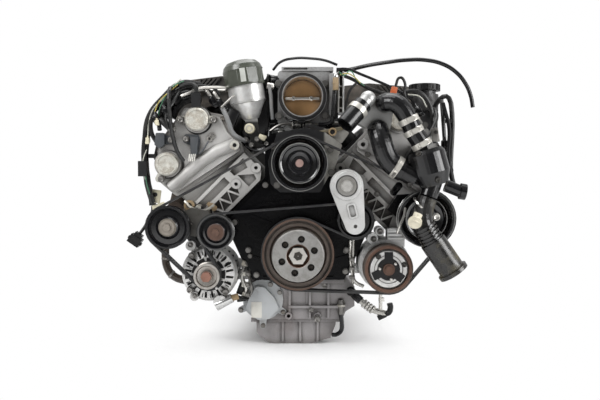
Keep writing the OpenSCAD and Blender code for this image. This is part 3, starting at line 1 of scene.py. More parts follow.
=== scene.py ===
"""Looks of a car engine: its finishes, its free cords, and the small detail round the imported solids."""
import logging
import math
from dataclasses import dataclass, field
from enum import Enum
from typing import Any, Iterator, Optional, Sequence, Union

import bpy
from mathutils import Matrix, Vector

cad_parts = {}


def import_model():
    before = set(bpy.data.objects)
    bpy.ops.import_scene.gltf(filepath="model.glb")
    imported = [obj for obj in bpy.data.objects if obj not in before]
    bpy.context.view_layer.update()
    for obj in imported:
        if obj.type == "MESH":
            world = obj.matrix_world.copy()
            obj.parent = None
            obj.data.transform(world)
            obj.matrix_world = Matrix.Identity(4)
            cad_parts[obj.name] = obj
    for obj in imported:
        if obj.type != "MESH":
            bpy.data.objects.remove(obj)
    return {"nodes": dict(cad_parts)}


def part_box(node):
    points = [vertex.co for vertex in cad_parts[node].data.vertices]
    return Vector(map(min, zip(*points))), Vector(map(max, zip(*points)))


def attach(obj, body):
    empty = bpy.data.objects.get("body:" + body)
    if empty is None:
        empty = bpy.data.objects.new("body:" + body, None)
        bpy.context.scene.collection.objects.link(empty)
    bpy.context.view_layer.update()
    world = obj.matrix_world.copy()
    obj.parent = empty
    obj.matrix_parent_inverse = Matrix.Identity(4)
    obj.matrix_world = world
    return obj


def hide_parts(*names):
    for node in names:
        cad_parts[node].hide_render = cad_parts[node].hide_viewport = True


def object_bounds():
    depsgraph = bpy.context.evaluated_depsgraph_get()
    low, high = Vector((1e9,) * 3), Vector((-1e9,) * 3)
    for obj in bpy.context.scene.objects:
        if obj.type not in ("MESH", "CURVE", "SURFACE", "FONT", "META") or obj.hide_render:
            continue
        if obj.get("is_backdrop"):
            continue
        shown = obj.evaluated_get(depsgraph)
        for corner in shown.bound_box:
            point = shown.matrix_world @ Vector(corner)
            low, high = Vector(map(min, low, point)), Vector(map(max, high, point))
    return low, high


LOG = logging.getLogger("engine")
FRONT = Vector((0, -1, 0))
# Edges that turn by more than this are rounded, and aren't shaded smooth
SHARP = math.radians(35)
# Millimetres in front of the rear flange where a ray to a solid starts
SIGHT = 900
# Millimetres in front of the rear flange of the drive covers' face
COVER_FACE = 540
Colour = tuple[float, float, float]
Point = tuple[float, float, float]
# Places seen from the front, each x and z in millimetres
Spots = tuple[tuple[float, float], ...]


def place(x: float, forward: float, z: float) -> Vector:
    """A point from millimetres: x to the right, forward of the rear flange, z up.

    Args:
        x: Distance to the right of the crank's axis.
        forward: Distance in front of the rear flange.
        z: Height over the crank's axis.

    Returns:
        The same point in metres, in the row frame.
    """
    return Vector((x / 1000, -forward / 1000, z / 1000))


def middle(node: str) -> Vector:
    """The middle of a node's box."""
    low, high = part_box(node)
    return (low + high) / 2


def around(count: int, radius: float, start: float = 0.0) -> Iterator[tuple[float, float, float]]:
    """Places spread evenly round a circle in the front view.

    Args:
        count: Number of places.
        radius: Radius of the circle.
        start: Angle in degrees of the first place.

    Yields:
        The angle in degrees of each place, and its offsets along X and Z.
    """
    for i in range(count):
        angle = start + 360 * i / count
        yield angle, radius * math.cos(math.radians(angle)), radius * math.sin(math.radians(angle))


# ---- Shader arithmetic ----


class Value:
    """A shader socket that takes part in Python arithmetic."""

    def __init__(self, graph: "Graph", socket: bpy.types.NodeSocket) -> None:
        """Keeps the graph that the socket belongs to."""
        self.graph = graph
        self.socket = socket

    def _join(self, operation: str, a: Any, b: Any, clamp: bool = False) -> "Value":
        """Adds one Math node.

        Args:
            operation: The node's operation.
            a: First value or number.
            b: Second value or number.
            clamp: Whether the result stays between 0 and 1.

        Returns:
            The node's result.
        """
        settings = {"operation": operation, "use_clamp": clamp}
        return self.graph.value("ShaderNodeMath", settings, {0: a, 1: b})

    def __add__(self, other: Any) -> "Value":
        """Sum."""
        return self._join("ADD", self, other)

    __radd__ = __add__

    def __sub__(self, other: Any) -> "Value":
        """Difference."""
        return self._join("SUBTRACT", self, other)

    def __rsub__(self, other: Any) -> "Value":
        """Difference from a number."""
        return self._join("SUBTRACT", other, self)

    def __mul__(self, other: Any) -> "Value":
        """Product."""
        return self._join("MULTIPLY", self, other)

    __rmul__ = __mul__

    def clamped(self) -> "Value":
        """The value held between 0 and 1."""
        return self._join("ADD", self, 0.0, clamp=True)

    def between(self, low: float, high: float) -> "Value":
        """A smooth step from 0 at low to 1 at high."""
        settings = {"interpolation_type": "SMOOTHSTEP"}
        return self.graph.value("ShaderNodeMapRange", settings, {"Value": self, 1: low, 2: high})


class Graph:
    """One material's nodes, with short names for the ones that the finishes use."""

    def __init__(self, name: str) -> None:
        """Makes the material and its output.

        Args:
            name: The material's name.
        """
        self.material = bpy.data.materials.new(name)
        self.material.use_nodes = True
        self.tree = self.material.node_tree
        self.tree.nodes.clear()
        self.output = self.node("ShaderNodeOutputMaterial")
        self.shader = self.node("ShaderNodeBsdfPrincipled")
        self.tree.links.new(self.shader.outputs[0], self.output.inputs["Surface"])
        self.coords = self.node("ShaderNodeTexCoord").outputs["Object"]

    def node(self, kind: str, settings: Optional[dict] = None,
             inputs: Optional[dict] = None) -> bpy.types.Node:
        """Adds a node.

        Args:
            kind: The node's type.
            settings: Attributes that are set first.
            inputs: Numbers, colours, sockets or values of its input sockets.

        Returns:
            The new node.
        """
        made = self.tree.nodes.new(kind)
        for key, setting in (settings or {}).items():
            setattr(made, key, setting)
        for key, given in (inputs or {}).items():
            self.feed(made.inputs[key], given)
        return made

    def feed(self, socket: bpy.types.NodeSocket, given: Any) -> None:
        """Links or sets one input socket."""
        if isinstance(given, Value):
            self.tree.links.new(given.socket, socket)
        elif isinstance(given, bpy.types.NodeSocket):
            self.tree.links.new(given, socket)
        elif isinstance(given, tuple) and len(given) == 3 and socket.type == "RGBA":
            socket.default_value = (*given, 1.0)
        else:
            socket.default_value = given

    def value(self, kind: str, settings: Optional[dict] = None, inputs: Optional[dict] = None,
              out: Any = 0) -> Value:
        """Adds a node and returns one of its outputs as a value."""
        return Value(self, self.node(kind, settings, inputs).outputs[out])

    def spread(self, stretch: Point) -> bpy.types.NodeSocket:
        """Object coordinates, stretched."""
        return self.node("ShaderNodeMapping", None, {"Vector": self.coords, "Scale": stretch}).outputs[0]

    def noise(self, scale: float, detail: float = 3.0, rough: float = 0.55, at: Any = None) -> Value:
        """Noise between 0 and 1."""
        inputs = {"Vector": at or self.coords, "Scale": scale, "Detail": detail, "Roughness": rough}
        return self.value("ShaderNodeTexNoise", None, inputs)

    def crevice(self, reach: float) -> Value:
        """1 in open places and less in corners and under ledges."""
        return self.value("ShaderNodeAmbientOcclusion", {"samples": 6}, {"Distance": reach}, "AO")

    def mix(self, share: Any, a: Any, b: Any) -> bpy.types.NodeSocket:
        """One colour blended into another."""
        made = self.node("ShaderNodeMix", {"data_type": "RGBA"}, {0: share, 6: a, 7: b})
        return made.outputs[2]

    def bump(self, height: Value, distance: float) -> bpy.types.NodeSocket:
        """A bumped normal; distance is the height in metres of a step from 0 to 1."""
        return self.node("ShaderNodeBump", None,
                         {"Height": height, "Distance": distance, "Strength": 1.0}).outputs[0]

    def close(self, inputs: dict) -> bpy.types.Material:
        """Feeds the main shader and returns the finished material."""
        for key, given in inputs.items():
            self.feed(self.shader.inputs[key], given)
        return self.material


def darker(colour: Colour, share: float) -> Colour:
    """A colour made darker."""
    return tuple(c * share for c in colour)


# ---- Finishes ----

# Near-black laid in corners, under ledges and between parts: painted shade, with some grime
SHADE_AND_GRIME: Colour = (0.035, 0.028, 0.021)
OIL: Colour = (0.09, 0.065, 0.04)


@dataclass(frozen=True)
class Casting:
    """Bare cast aluminium: grainy, stained by patches, with grime and painted shade darkening its corners."""

    tone: Colour = (0.46, 0.46, 0.45)
    rough: float = 0.42
    metal: float = 0.75
    # Strength of the grime and painted shade in corners
    shade_and_grime: float = 0.85
    reach: float = 0.014
    grain: float = 0.00025
    stain: Colour = OIL
    stains: float = 0.35

    def material(self, name: str) -> bpy.types.Material:
        """Builds the material.

        Args:
            name: The material's name.

        Returns:
            The finished material.
        """
        g = Graph(name)
        cloud = g.noise(14, 5, 0.6)
        patch = g.noise(5.5, 4, 0.65).between(0.52, 0.72)
        speck = g.noise(900, 2)
        # Painted shade with grime: darker where ambient occlusion finds corners and ledges
        shade_and_dirt = (1.0 - g.crevice(self.reach)).between(0.12, 0.75) * self.shade_and_grime
        colour = g.mix(cloud.between(0.3, 0.7), darker(self.tone, 0.82), self.tone)
        colour = g.mix(speck.between(0.45, 0.8) * 0.35, colour, darker(self.tone, 0.55))
        colour = g.mix(patch * self.stains, colour, self.stain)
        colour = g.mix(shade_and_dirt, colour, SHADE_AND_GRIME)
        rough = (cloud * 0.16 + (self.rough - 0.08) + shade_and_dirt * 0.3 + patch * 0.1).clamped()
        metal = (self.metal - shade_and_dirt * 0.6 - patch * (0.35 * self.stains)).clamped()
        normal = g.bump(speck * 0.6 + g.noise(260, 3) * 0.4, self.grain)
        return g.close({"Base Color": colour, "Roughness": rough, "Metallic": metal, "Normal": normal})


@dataclass(frozen=True)
class Mottled:
    """Pale casting with blotches of white corrosion, such as a cover that has been hot and wet."""

    tone: Colour = (0.63, 0.61, 0.56)
    blotch: Colour = (0.42, 0.38, 0.32)
    rough: float = 0.4
    metal: float = 0.5

    def material(self, name: str) -> bpy.types.Material:
        """Builds the material.

        Args:
            name: The material's name.

        Returns:
            The finished material.
        """
        g = Graph(name)
        blotches = g.noise(75, 6, 0.7).between(0.42, 0.62)
        specks = g.noise(420, 3).between(0.5, 0.75)
        # Painted shade with grime: near-black where ambient occlusion finds corners and ledges
        shade_and_dirt = (1.0 - g.crevice(0.007)).between(0.15, 0.8) * 0.85
        colour = g.mix(blotches, self.tone, self.blotch)
        colour = g.mix(specks * 0.5, colour, (0.72, 0.72, 0.66))
        colour = g.mix(shade_and_dirt, colour, SHADE_AND_GRIME)
        rough = (blotches * 0.2 + self.rough).clamped()
        normal = g.bump(blotches * 0.4 + g.noise(600, 3) * 0.6, 0.0003)
        return g.close({"Base Color": colour, "Roughness": rough,
                        "Metallic": (self.metal - shade_and_dirt * 0.4).clamped(), "Normal": normal})


@dataclass(frozen=True)
class Zone:
    """A region of a solid with a tone of its own, which in some finishes stands for a painted highlight or
    painted shade: a ring round a front axis, or what lies past a plane.
    """

    tone: Colour
    rough: float = 0.45
    metal: float = 0.3
    inner: float = -1.0
    outer: float = 9.0
    ahead: Optional[float] = None
    right: Optional[float] = None
    under: Optional[float] = None
    share: float = 1.0
    blur: float = 0.0006


@dataclass(frozen=True)
class Zoned:
    """Metal or paint whose tone changes by region, with turned rings, and grime and painted shade darkening
    its grooves.
    """

    centre: Sequence[float]
    tone: Colour = (0.55, 0.54, 0.52)
    rough: float = 0.3
    metal: float = 0.9
    zones: tuple[Zone, ...] = ()
    rings: float = 0.35
    # Strength of the grime and painted shade in grooves
    shade_and_grime: float = 0.85
    reach: float = 0.007
    shine: float = 0.5

    def mask(self, g: Graph, zone: Zone, radius: Value, parts: bpy.types.Node) -> Value:
        """How much of a zone covers a place.

        Args:
            g: The material's graph.
            zone: The zone.
            radius: Distance from the front axis.
            parts: The node that splits the coordinates.

        Returns:
            A value between 0 and 1.
        """
        blur = zone.blur
        out = radius.between(zone.inner - blur, zone.inner + blur)
        out = out * (1.0 - radius.between(zone.outer - blur, zone.outer + blur))
        if zone.ahead is not None:
            out = out * (0.0 - Value(g, parts.outputs[1])).between(zone.ahead - blur, zone.ahead + blur)
        if zone.right is not None:
            out = out * Value(g, parts.outputs[0]).between(zone.right - blur, zone.right + blur)
        if zone.under is not None:
            out = out * (1.0 - Value(g, parts.outputs[2]).between(zone.under - blur, zone.under + blur))
        return (out * zone.share).clamped()

    def material(self, name: str) -> bpy.types.Material:
        """Builds the material, each zone laid over the ones before it.

        Args:
            name: The material's name.

        Returns:
            The finished material.
        """
        g = Graph(name)
        shifted = g.node("ShaderNodeVectorMath", {"operation": "SUBTRACT"},
                         {0: g.coords, 1: tuple(self.centre)}).outputs[0]
        flat = g.node("ShaderNodeVectorMath", {"operation": "MULTIPLY"},
                      {0: shifted, 1: (1, 0, 1)}).outputs[0]
        radius = g.value("ShaderNodeVectorMath", {"operation": "LENGTH"}, {0: flat}, "Value")
        parts = g.node("ShaderNodeSeparateXYZ", None, {0: g.coords})
        turned = g.noise(1.0, 2, 0.5, g.node("ShaderNodeCombineXYZ", None, {0: radius * 1400.0}).outputs[0])
        blotch = g.noise(70, 5, 0.7)
        # Painted shade with grime: near-black where ambient occlusion finds grooves and corners
        shade_and_dirt = (1.0 - g.crevice(self.reach)).between(0.15, 0.8) * self.shade_and_grime
        colour: Any = self.tone
        rough: Any = self.rough
        metal: Any = self.metal
        wavy = radius + (blotch - 0.5) * 0.0016
        for zone in self.zones:
            mask = self.mask(g, zone, wavy, parts)
            colour = g.mix(mask, colour, zone.tone)
            rough = mask * zone.rough + (1.0 - mask) * rough
            metal = mask * zone.metal + (1.0 - mask) * metal
        colour = g.node("ShaderNodeMix", {"data_type": "RGBA", "blend_type": "MULTIPLY"},
                        {0: (turned * self.rings + blotch.between(0.35, 0.75) * 0.5).clamped(), 6: colour,
                         7: (0.5, 0.48, 0.45)}).outputs[2]
        colour = g.mix(shade_and_dirt, colour, SHADE_AND_GRIME)
        rough = (turned * 0.1 + blotch * 0.12 - 0.06 + rough).clamped()
        metal = (metal - shade_and_dirt * 0.6).clamped()
        return g.close({"Base Color": colour, "Roughness": rough, "Metallic": metal,
                        "Specular IOR Level": self.shine,
                        "Normal": g.bump(turned * 0.5 + g.noise(420, 3) * 0.5, 0.00015)})


@dataclass(frozen=True)
class Paint:
    """Paint on metal: glossy or satin, with dust where it settles and chips on its edges."""

    tone: Colour = (0.012, 0.012, 0.013)
    rough: float = 0.22
    dust: float = 0.12
    coat: float = 0.5
    chip: Colour = (0.16, 0.12, 0.09)
    dust_tone: Colour = (0.23, 0.2, 0.16)
    shine: float = 0.4

    def material(self, name: str) -> bpy.types.Material:
        """Builds the material.

        Args:
            name: The material's name.

        Returns:
            The finished material.
        """
        g = Graph(name)
        cloud = g.noise(18, 5, 0.6)
        dusty = (cloud.between(0.45, 0.75) * self.dust).clamped()
        chips = g.noise(150, 6, 0.75).between(0.68, 0.74)
        # Painted shade, with some dirt: the paint turns darker where ambient occlusion finds corners and
        # ledges
        shade_and_dirt = (1.0 - g.crevice(0.01)).between(0.2, 0.8)
        colour = g.mix(dusty, self.tone, self.dust_tone)
        colour = g.mix(chips * 0.5, colour, self.chip)
        colour = g.mix(shade_and_dirt * 0.6, colour, darker(self.tone, 0.4))
        rough = (dusty * 1.6 + cloud * 0.12 + self.rough + chips * 0.3).clamped()
        return g.close({"Base Color": colour, "Roughness": rough, "Coat Weight": self.coat,
                        "Coat Roughness": 0.08, "Specular IOR Level": self.shine,
                        "Normal": g.bump(g.noise(70, 3), 0.0003)})


@dataclass(frozen=True)
class Plastic:
    """Moulded plastic with a fine texture and a thin film of dust."""

    tone: Colour = (0.02, 0.02, 0.021)
    rough: float = 0.48
    dust: float = 0.1
    grain: float = 0.00012
    dust_tone: Colour = (0.25, 0.22, 0.18)
    shine: float = 0.35

    def material(self, name: str) -> bpy.types.Material:
        """Builds the material.

        Args:
            name: The material's name.

        Returns:
            The finished material.
        """
        g = Graph(name)
        cloud = g.noise(22, 5, 0.62)
        dusty = (cloud.between(0.42, 0.78) * self.dust).clamped()
        # Painted shade, with some dirt: the plastic turns darker where ambient occlusion finds corners and
        # ledges
        shade_and_dirt = (1.0 - g.crevice(0.008)).between(0.2, 0.85) * 0.5
        colour = g.mix(dusty, self.tone, self.dust_tone)
        colour = g.mix(shade_and_dirt, colour, darker(self.tone, 0.35))
        rough = (cloud * 0.14 + dusty + self.rough - 0.05).clamped()
        return g.close({"Base Color": colour, "Roughness": rough, "Specular IOR Level": self.shine,
                        "Normal": g.bump(g.noise(1100, 2), self.grain)})


@dataclass(frozen=True)
class Rubber:
    """Rubber hose or belt: black, a little bloomed and scuffed."""

    tone: Colour = (0.014, 0.014, 0.015)
    bloom: float = 0.12
    rough: float = 0.42
    shine: float = 0.4

    def material(self, name: str) -> bpy.types.Material:
        """Builds the material.

        Args:
            name: The material's name.

        Returns:
            The finished material.
        """
        g = Graph(name)
        bloom = g.noise(26, 5, 0.7).between(0.45, 0.8) * self.bloom
        scuff = g.noise(190, 4, 0.8, g.spread((1, 1, 0.3))).between(0.66, 0.74) * 0.25
        colour = g.mix(bloom.clamped(), self.tone, (0.2, 0.19, 0.17))
        colour = g.mix(scuff, colour, (0.17, 0.16, 0.15))
        rough = (bloom * 1.5 + scuff * 0.6 + self.rough).clamped()
        return g.close({"Base Color": colour, "Roughness": rough, "Specular IOR Level": self.shine,
                        "Normal": g.bump(g.noise(520, 3) * 0.6 + g.noise(60, 3) * 0.4, 0.0002)})


@dataclass(frozen=True)
class Rusted:
    """Steel or iron under a coat of rust."""

    tone: Colour = (0.2, 0.1, 0.055)
    bare: Colour = (0.3, 0.27, 0.24)
    rough: float = 0.62
    metal: float = 0.35

    def material(self, name: str) -> bpy.types.Material:
        """Builds the material.

        Args:
            name: The material's name.

        Returns:
            The finished material.
        """
        g = Graph(name)
        patch = g.noise(38, 6, 0.68)
        fine = g.noise(420, 4, 0.7)
        # Painted shade with grime: near-black where ambient occlusion finds corners and ledges
        shade_and_dirt = (1.0 - g.crevice(0.008)).between(0.2, 0.85) * 0.7
        colour = g.mix(patch.between(0.35, 0.65), self.tone, darker(self.tone, 0.5))
        colour = g.mix(fine.between(0.6, 0.72) * 0.5, colour, self.bare)
        colour = g.mix(shade_and_dirt, colour, SHADE_AND_GRIME)
        return g.close({"Base Color": colour, "Roughness": (fine * 0.2 + self.rough - 0.1).clamped(),
                        "Metallic": (self.metal - shade_and_dirt * 0.3).clamped(),
                        "Normal": g.bump(fine * 0.7 + patch * 0.3, 0.0004)})


class Shop:
    """Every finish of the engine, each made once and looked up by its name."""

    def __init__(self) -> None:
        """Starts with no material made."""
        self.made: dict[str, bpy.types.Material] = {}
        rust, dark, pale = (0.17, 0.075, 0.04), (0.014, 0.014, 0.015), (0.6, 0.6, 0.58)
        brown, black = (0.075, 0.058, 0.048), (0.004, 0.004, 0.0045)
        gloss = {"tone": (0.004, 0.004, 0.005), "rough": 0.1, "metal": 0.0, "rings": 0.0, "shine": 0.8,
                 "shade_and_grime": 0.3}
        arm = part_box("tensioner_arm")[0].y
        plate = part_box("compressor_clutch_plate")
        clutch_front = 0.38 * plate[0].y + 0.62 * plate[1].y
        self.finishes: dict[str, Any] = {
            "cast_aluminium": Casting(tone=(0.48, 0.48, 0.47), stains=0.55),
            "dirty_casting": Casting(tone=(0.6, 0.59, 0.57), stains=0.45, shade_and_grime=0.88, rough=0.48, metal=0.35,
                                     reach=0.018),
            "sump_casting": Casting(tone=(0.34, 0.325, 0.325), stains=0.5, rough=0.46, metal=0.3,
                                    stain=(0.1, 0.06, 0.04), reach=0.03),
            "smooth_aluminium": Casting(tone=(0.52, 0.51, 0.495), rough=0.5, stains=0.45, grain=0.0002,
                                        metal=0.3, reach=0.026, stain=(0.16, 0.125, 0.09)),
            "arm_aluminium": Casting(tone=(0.66, 0.66, 0.65), rough=0.34, stains=0.3, metal=0.5, reach=0.012),
            "alternator_casting": Casting(tone=(0.66, 0.655, 0.64), rough=0.4, stains=0.3, metal=0.4,
                                          reach=0.01),
            "compressor_casting": Casting(tone=(0.74, 0.74, 0.73), rough=0.28, stains=0.25, metal=0.5,
                                          reach=0.012),
            "bright_aluminium": Casting(tone=(0.68, 0.68, 0.67), rough=0.25, stains=0.15, grain=0.00008,
                                        metal=0.95),
            "mottled_aluminium": Mottled(tone=(0.56, 0.55, 0.5), blotch=(0.36, 0.33, 0.28)),
            "damper_face": Zoned(middle("crank_damper"), tone=(0.36, 0.355, 0.345), rough=0.4,
                                 zones=(Zone(brown, 0.5, 0.35, inner=0.0555),
                                        Zone(rust, 0.6, 0.2, inner=0.0575, outer=0.0605, share=0.4),
                                        Zone(rust, 0.6, 0.2, inner=0.0735, share=0.3),
                                        Zone(rust, 0.6, 0.3, outer=0.0245))),
            "clutch_pulley": Zoned(middle("compressor_pulley"), tone=(0.62, 0.61, 0.6), zones=(
                Zone((0.125, 0.07, 0.05), 0.45, 0.5, inner=0.0425), Zone(brown, 0.5, 0.4, inner=0.0505))),
            "clutch_face": Zoned(middle("compressor_clutch_plate"), tone=(0.7, 0.7, 0.69), rough=0.3,
                                 shine=0.3, zones=(Zone(black, 0.14, 0.0, outer=0.0245),
                                                   Zone(black, 0.14, 0.0, ahead=-clutch_front),
                                                   Zone((0.13, 0.075, 0.055), 0.5, 0.4, outer=0.0125))),
            "rotor_steel": Zoned(middle("alternator_rotor"), tone=(0.48, 0.46, 0.43), zones=(
                Zone((0.3, 0.16, 0.12), 0.45, 0.6, outer=0.0115),)),
            # Pale metal rings on the rim and the face: worn bare metal, and a painted highlight for the glint
            # on the rim
            "pump_pulley": Zoned(middle("water_pump_pulley"), zones=(
                Zone(pale, 0.25, 0.9, inner=0.0588, share=0.5),
                Zone(pale, 0.25, 0.9, inner=0.0415, outer=0.0435, share=0.45),
                Zone((0.4, 0.27, 0.24), 0.4, 0.6, outer=0.0085)), **gloss),
            # Pale metal rings on the rim and the face: worn bare metal, and a painted highlight for the glint
            # on the rim
            "steering_pulley": Zoned(middle("steering_pump_pulley"), zones=(
                Zone(pale, 0.25, 0.9, inner=0.0598, share=0.5),
                Zone(pale, 0.25, 0.9, inner=0.0425, outer=0.0445, share=0.3)), **gloss),
            # Pale rim: worn bare metal, and a painted highlight for the glint on the rim
            "smooth_pulley": Zoned(middle("smooth_idler"), zones=(
                Zone(pale, 0.2, 0.9, inner=0.0362, share=0.1),
                Zone((0.1, 0.06, 0.048), 0.5, 0.4, outer=0.0185)), **gloss),
            "grooved_pulley": Zoned(middle("grooved_idler"),
                                    zones=(Zone((0.2, 0.18, 0.15), 0.4, 0.5, outer=0.019),),
                                    **(gloss | {"rough": 0.17, "shine": 0.6})),
            "idler_post": Zoned(middle("idler_bracket"), tone=(0.12, 0.115, 0.105), rough=0.5, metal=0.5,
                                rings=0.0, reach=0.02,
                                zones=(Zone((0.3, 0.27, 0.235), 0.38, 0.6, ahead=0.59),
                                       Zone((0.11, 0.062, 0.045), 0.5, 0.4, ahead=0.59, right=-0.23))),
            "tensioner_steel": Zoned(place(102, 600, 147), tone=(0.3, 0.295, 0.285), rings=0.0, rough=0.45,
                                     metal=0.6,
                                     zones=(Zone((0.36, 0.35, 0.33), 0.35, 0.9, ahead=-arm - 0.001),
                                            Zone((0.72, 0.71, 0.68), 0.3, 0.9, ahead=-arm, outer=0.0125))),
            "pump_casting": Zoned(middle("water_pump_body"), tone=dark, rough=0.3, metal=0.0, rings=0.0,
                                  shine=0.4,
                                  zones=(Zone((0.4, 0.39, 0.36), 0.42, 0.7, right=0.058, blur=0.004),)),
            # Near-black below a height: painted shade for the dark space under the filter's body
            "filter_housing": Zoned(middle("oil_filter_housing"), tone=(0.74, 0.74, 0.73), rough=0.28,
                                    metal=0.7, rings=0.0,
                                    zones=(Zone((0.02, 0.019, 0.018), 0.5, 0.2, under=0.292, blur=0.004),)),
            "throttle_casting": Zoned(middle("throttle_plate"), tone=(0.5, 0.5, 0.5), rough=0.36, metal=0.7,
                                      rings=0.0, reach=0.02, zones=(
                Zone((0.018, 0.018, 0.02), 0.3, 0.1, inner=0.0455, outer=0.0535, ahead=0.49),
                Zone((0.6, 0.59, 0.57), 0.25, 0.9, outer=0.0452))),
            "bolt_steel": Casting(tone=(0.22, 0.212, 0.2), rough=0.33, metal=0.8, stains=0.6, grain=0.0001,
                                  reach=0.005),
            "clamp_steel": Casting(tone=(0.6, 0.585, 0.55), rough=0.26, metal=0.95, stains=0.4, grain=0.00005,
                                   reach=0.006),
            "band_steel": Casting(tone=(0.62, 0.6, 0.55), rough=0.36, metal=0.6, stains=0.35, grain=0.00005,
                                  reach=0.004),
            "rusty_steel": Rusted(tone=(0.2, 0.1, 0.06)),
            "pale_steel": Casting(tone=(0.66, 0.64, 0.6), rough=0.3, metal=0.9, stains=0.3, grain=0.0001),
            "manifold_iron": Rusted(tone=(0.07, 0.05, 0.038), bare=(0.16, 0.14, 0.12)),
            "black_casting": Paint(tone=(0.0025, 0.0025, 0.003), rough=0.2, dust=0.01, coat=0.03, shine=0.1),
            "gloss_black": Paint(tone=(0.003, 0.003, 0.0035), rough=0.1, dust=0.02, coat=0.8),
            "dark_cover": Paint(tone=(0.05, 0.046, 0.042), rough=0.34, dust=0.85, coat=0.15,
                                dust_tone=(0.22, 0.19, 0.16)),
            "black_plastic": Plastic(tone=(0.006, 0.006, 0.0065), rough=0.32, dust=0.04, shine=0.3),
            "glossy_plastic": Plastic(tone=(0.004, 0.004, 0.0045), rough=0.16, dust=0.02, grain=0.00005,
                                      shine=0.45),
            "grey_plastic": Plastic(tone=(0.44, 0.455, 0.465), rough=0.42, dust=0.35,
                                    dust_tone=(0.3, 0.285, 0.26)),
            "tank_plastic": Plastic(tone=(0.014, 0.014, 0.015), rough=0.26, dust=0.3, shine=0.5,
                                    dust_tone=(0.1, 0.09, 0.08)),
            "sensor_plastic": Plastic(tone=(0.055, 0.06, 0.066), rough=0.36, dust=0.15),
            "cream_plastic": Plastic(tone=(0.6, 0.56, 0.42), rough=0.45, dust=0.3,
                                     dust_tone=(0.3, 0.25, 0.16)),
            "white_plastic": Plastic(tone=(0.68, 0.67, 0.62), rough=0.45, dust=0.35,
                                     dust_tone=(0.35, 0.31, 0.24)),
            "orange_plastic": Plastic(tone=(0.42, 0.09, 0.025), rough=0.4, dust=0.25),
            "tan_plastic": Plastic(tone=(0.28, 0.2, 0.11), rough=0.42, dust=0.3),
            "olive_steel": Casting(tone=(0.2, 0.175, 0.12), rough=0.4, metal=0.6, stains=0.4),
            "filter_cap": Plastic(tone=(0.052, 0.057, 0.045), rough=0.16, dust=0.12,
                                  dust_tone=(0.16, 0.155, 0.115), shine=0.6),
            "filter_paper": Plastic(tone=(0.62, 0.5, 0.28), rough=0.8, dust=0.1),
            "worn_pipe": Plastic(tone=(0.011, 0.0105, 0.01), rough=0.17, dust=0.75,
                                 dust_tone=(0.105, 0.088, 0.045), shine=0.5),
            "belt_rubber": Rubber(rough=0.45, bloom=0.18),
            "hose_rubber": Rubber(tone=(0.005, 0.005, 0.0055), rough=0.18, bloom=0.02, shine=0.45),
            "brown_rubber": Rubber(tone=(0.03, 0.022, 0.016), rough=0.35, bloom=0.1),
            "grey_pipe": Plastic(tone=(0.16, 0.165, 0.17), rough=0.35, dust=0.3),
            "pale_film": Plastic(tone=(0.42, 0.43, 0.4), rough=0.3, dust=0.4, dust_tone=(0.2, 0.2, 0.17)),
            "dark_steel": Casting(tone=(0.05, 0.048, 0.045), rough=0.35, metal=0.8, stains=0.3, grain=0.0001),
            "connector_shell": Zoned((0.24, -0.67, 0.08), tone=(0.012, 0.012, 0.013), rough=0.34, metal=0.0,
                                     rings=0.0, shine=0.35,
                                     zones=(Zone((0.62, 0.58, 0.46), 0.4, 0.0, ahead=0.65, right=0.2),)),
            "loom_sleeve": Rubber(rough=0.4, bloom=0.1, tone=(0.006, 0.006, 0.006)),
            "wire_white": Rubber(rough=0.45, bloom=0.3, tone=(0.42, 0.42, 0.37)),
            "wire_green": Rubber(rough=0.45, bloom=0.2, tone=(0.05, 0.16, 0.09)),
            "wire_yellow": Rubber(rough=0.45, bloom=0.2, tone=(0.4, 0.33, 0.08)),
            "throttle_brass": Casting(tone=(0.5, 0.29, 0.13), rough=0.35, metal=0.55, stains=0.6,
                                      grain=0.0001, stain=(0.3, 0.17, 0.07), reach=0.02),
        }

    def get(self, name: str) -> bpy.types.Material:
        """The material of a finish, made the first time it is asked for."""
        if name not in self.made:
            self.made[name] = self.finishes[name].material(name)
        return self.made[name]


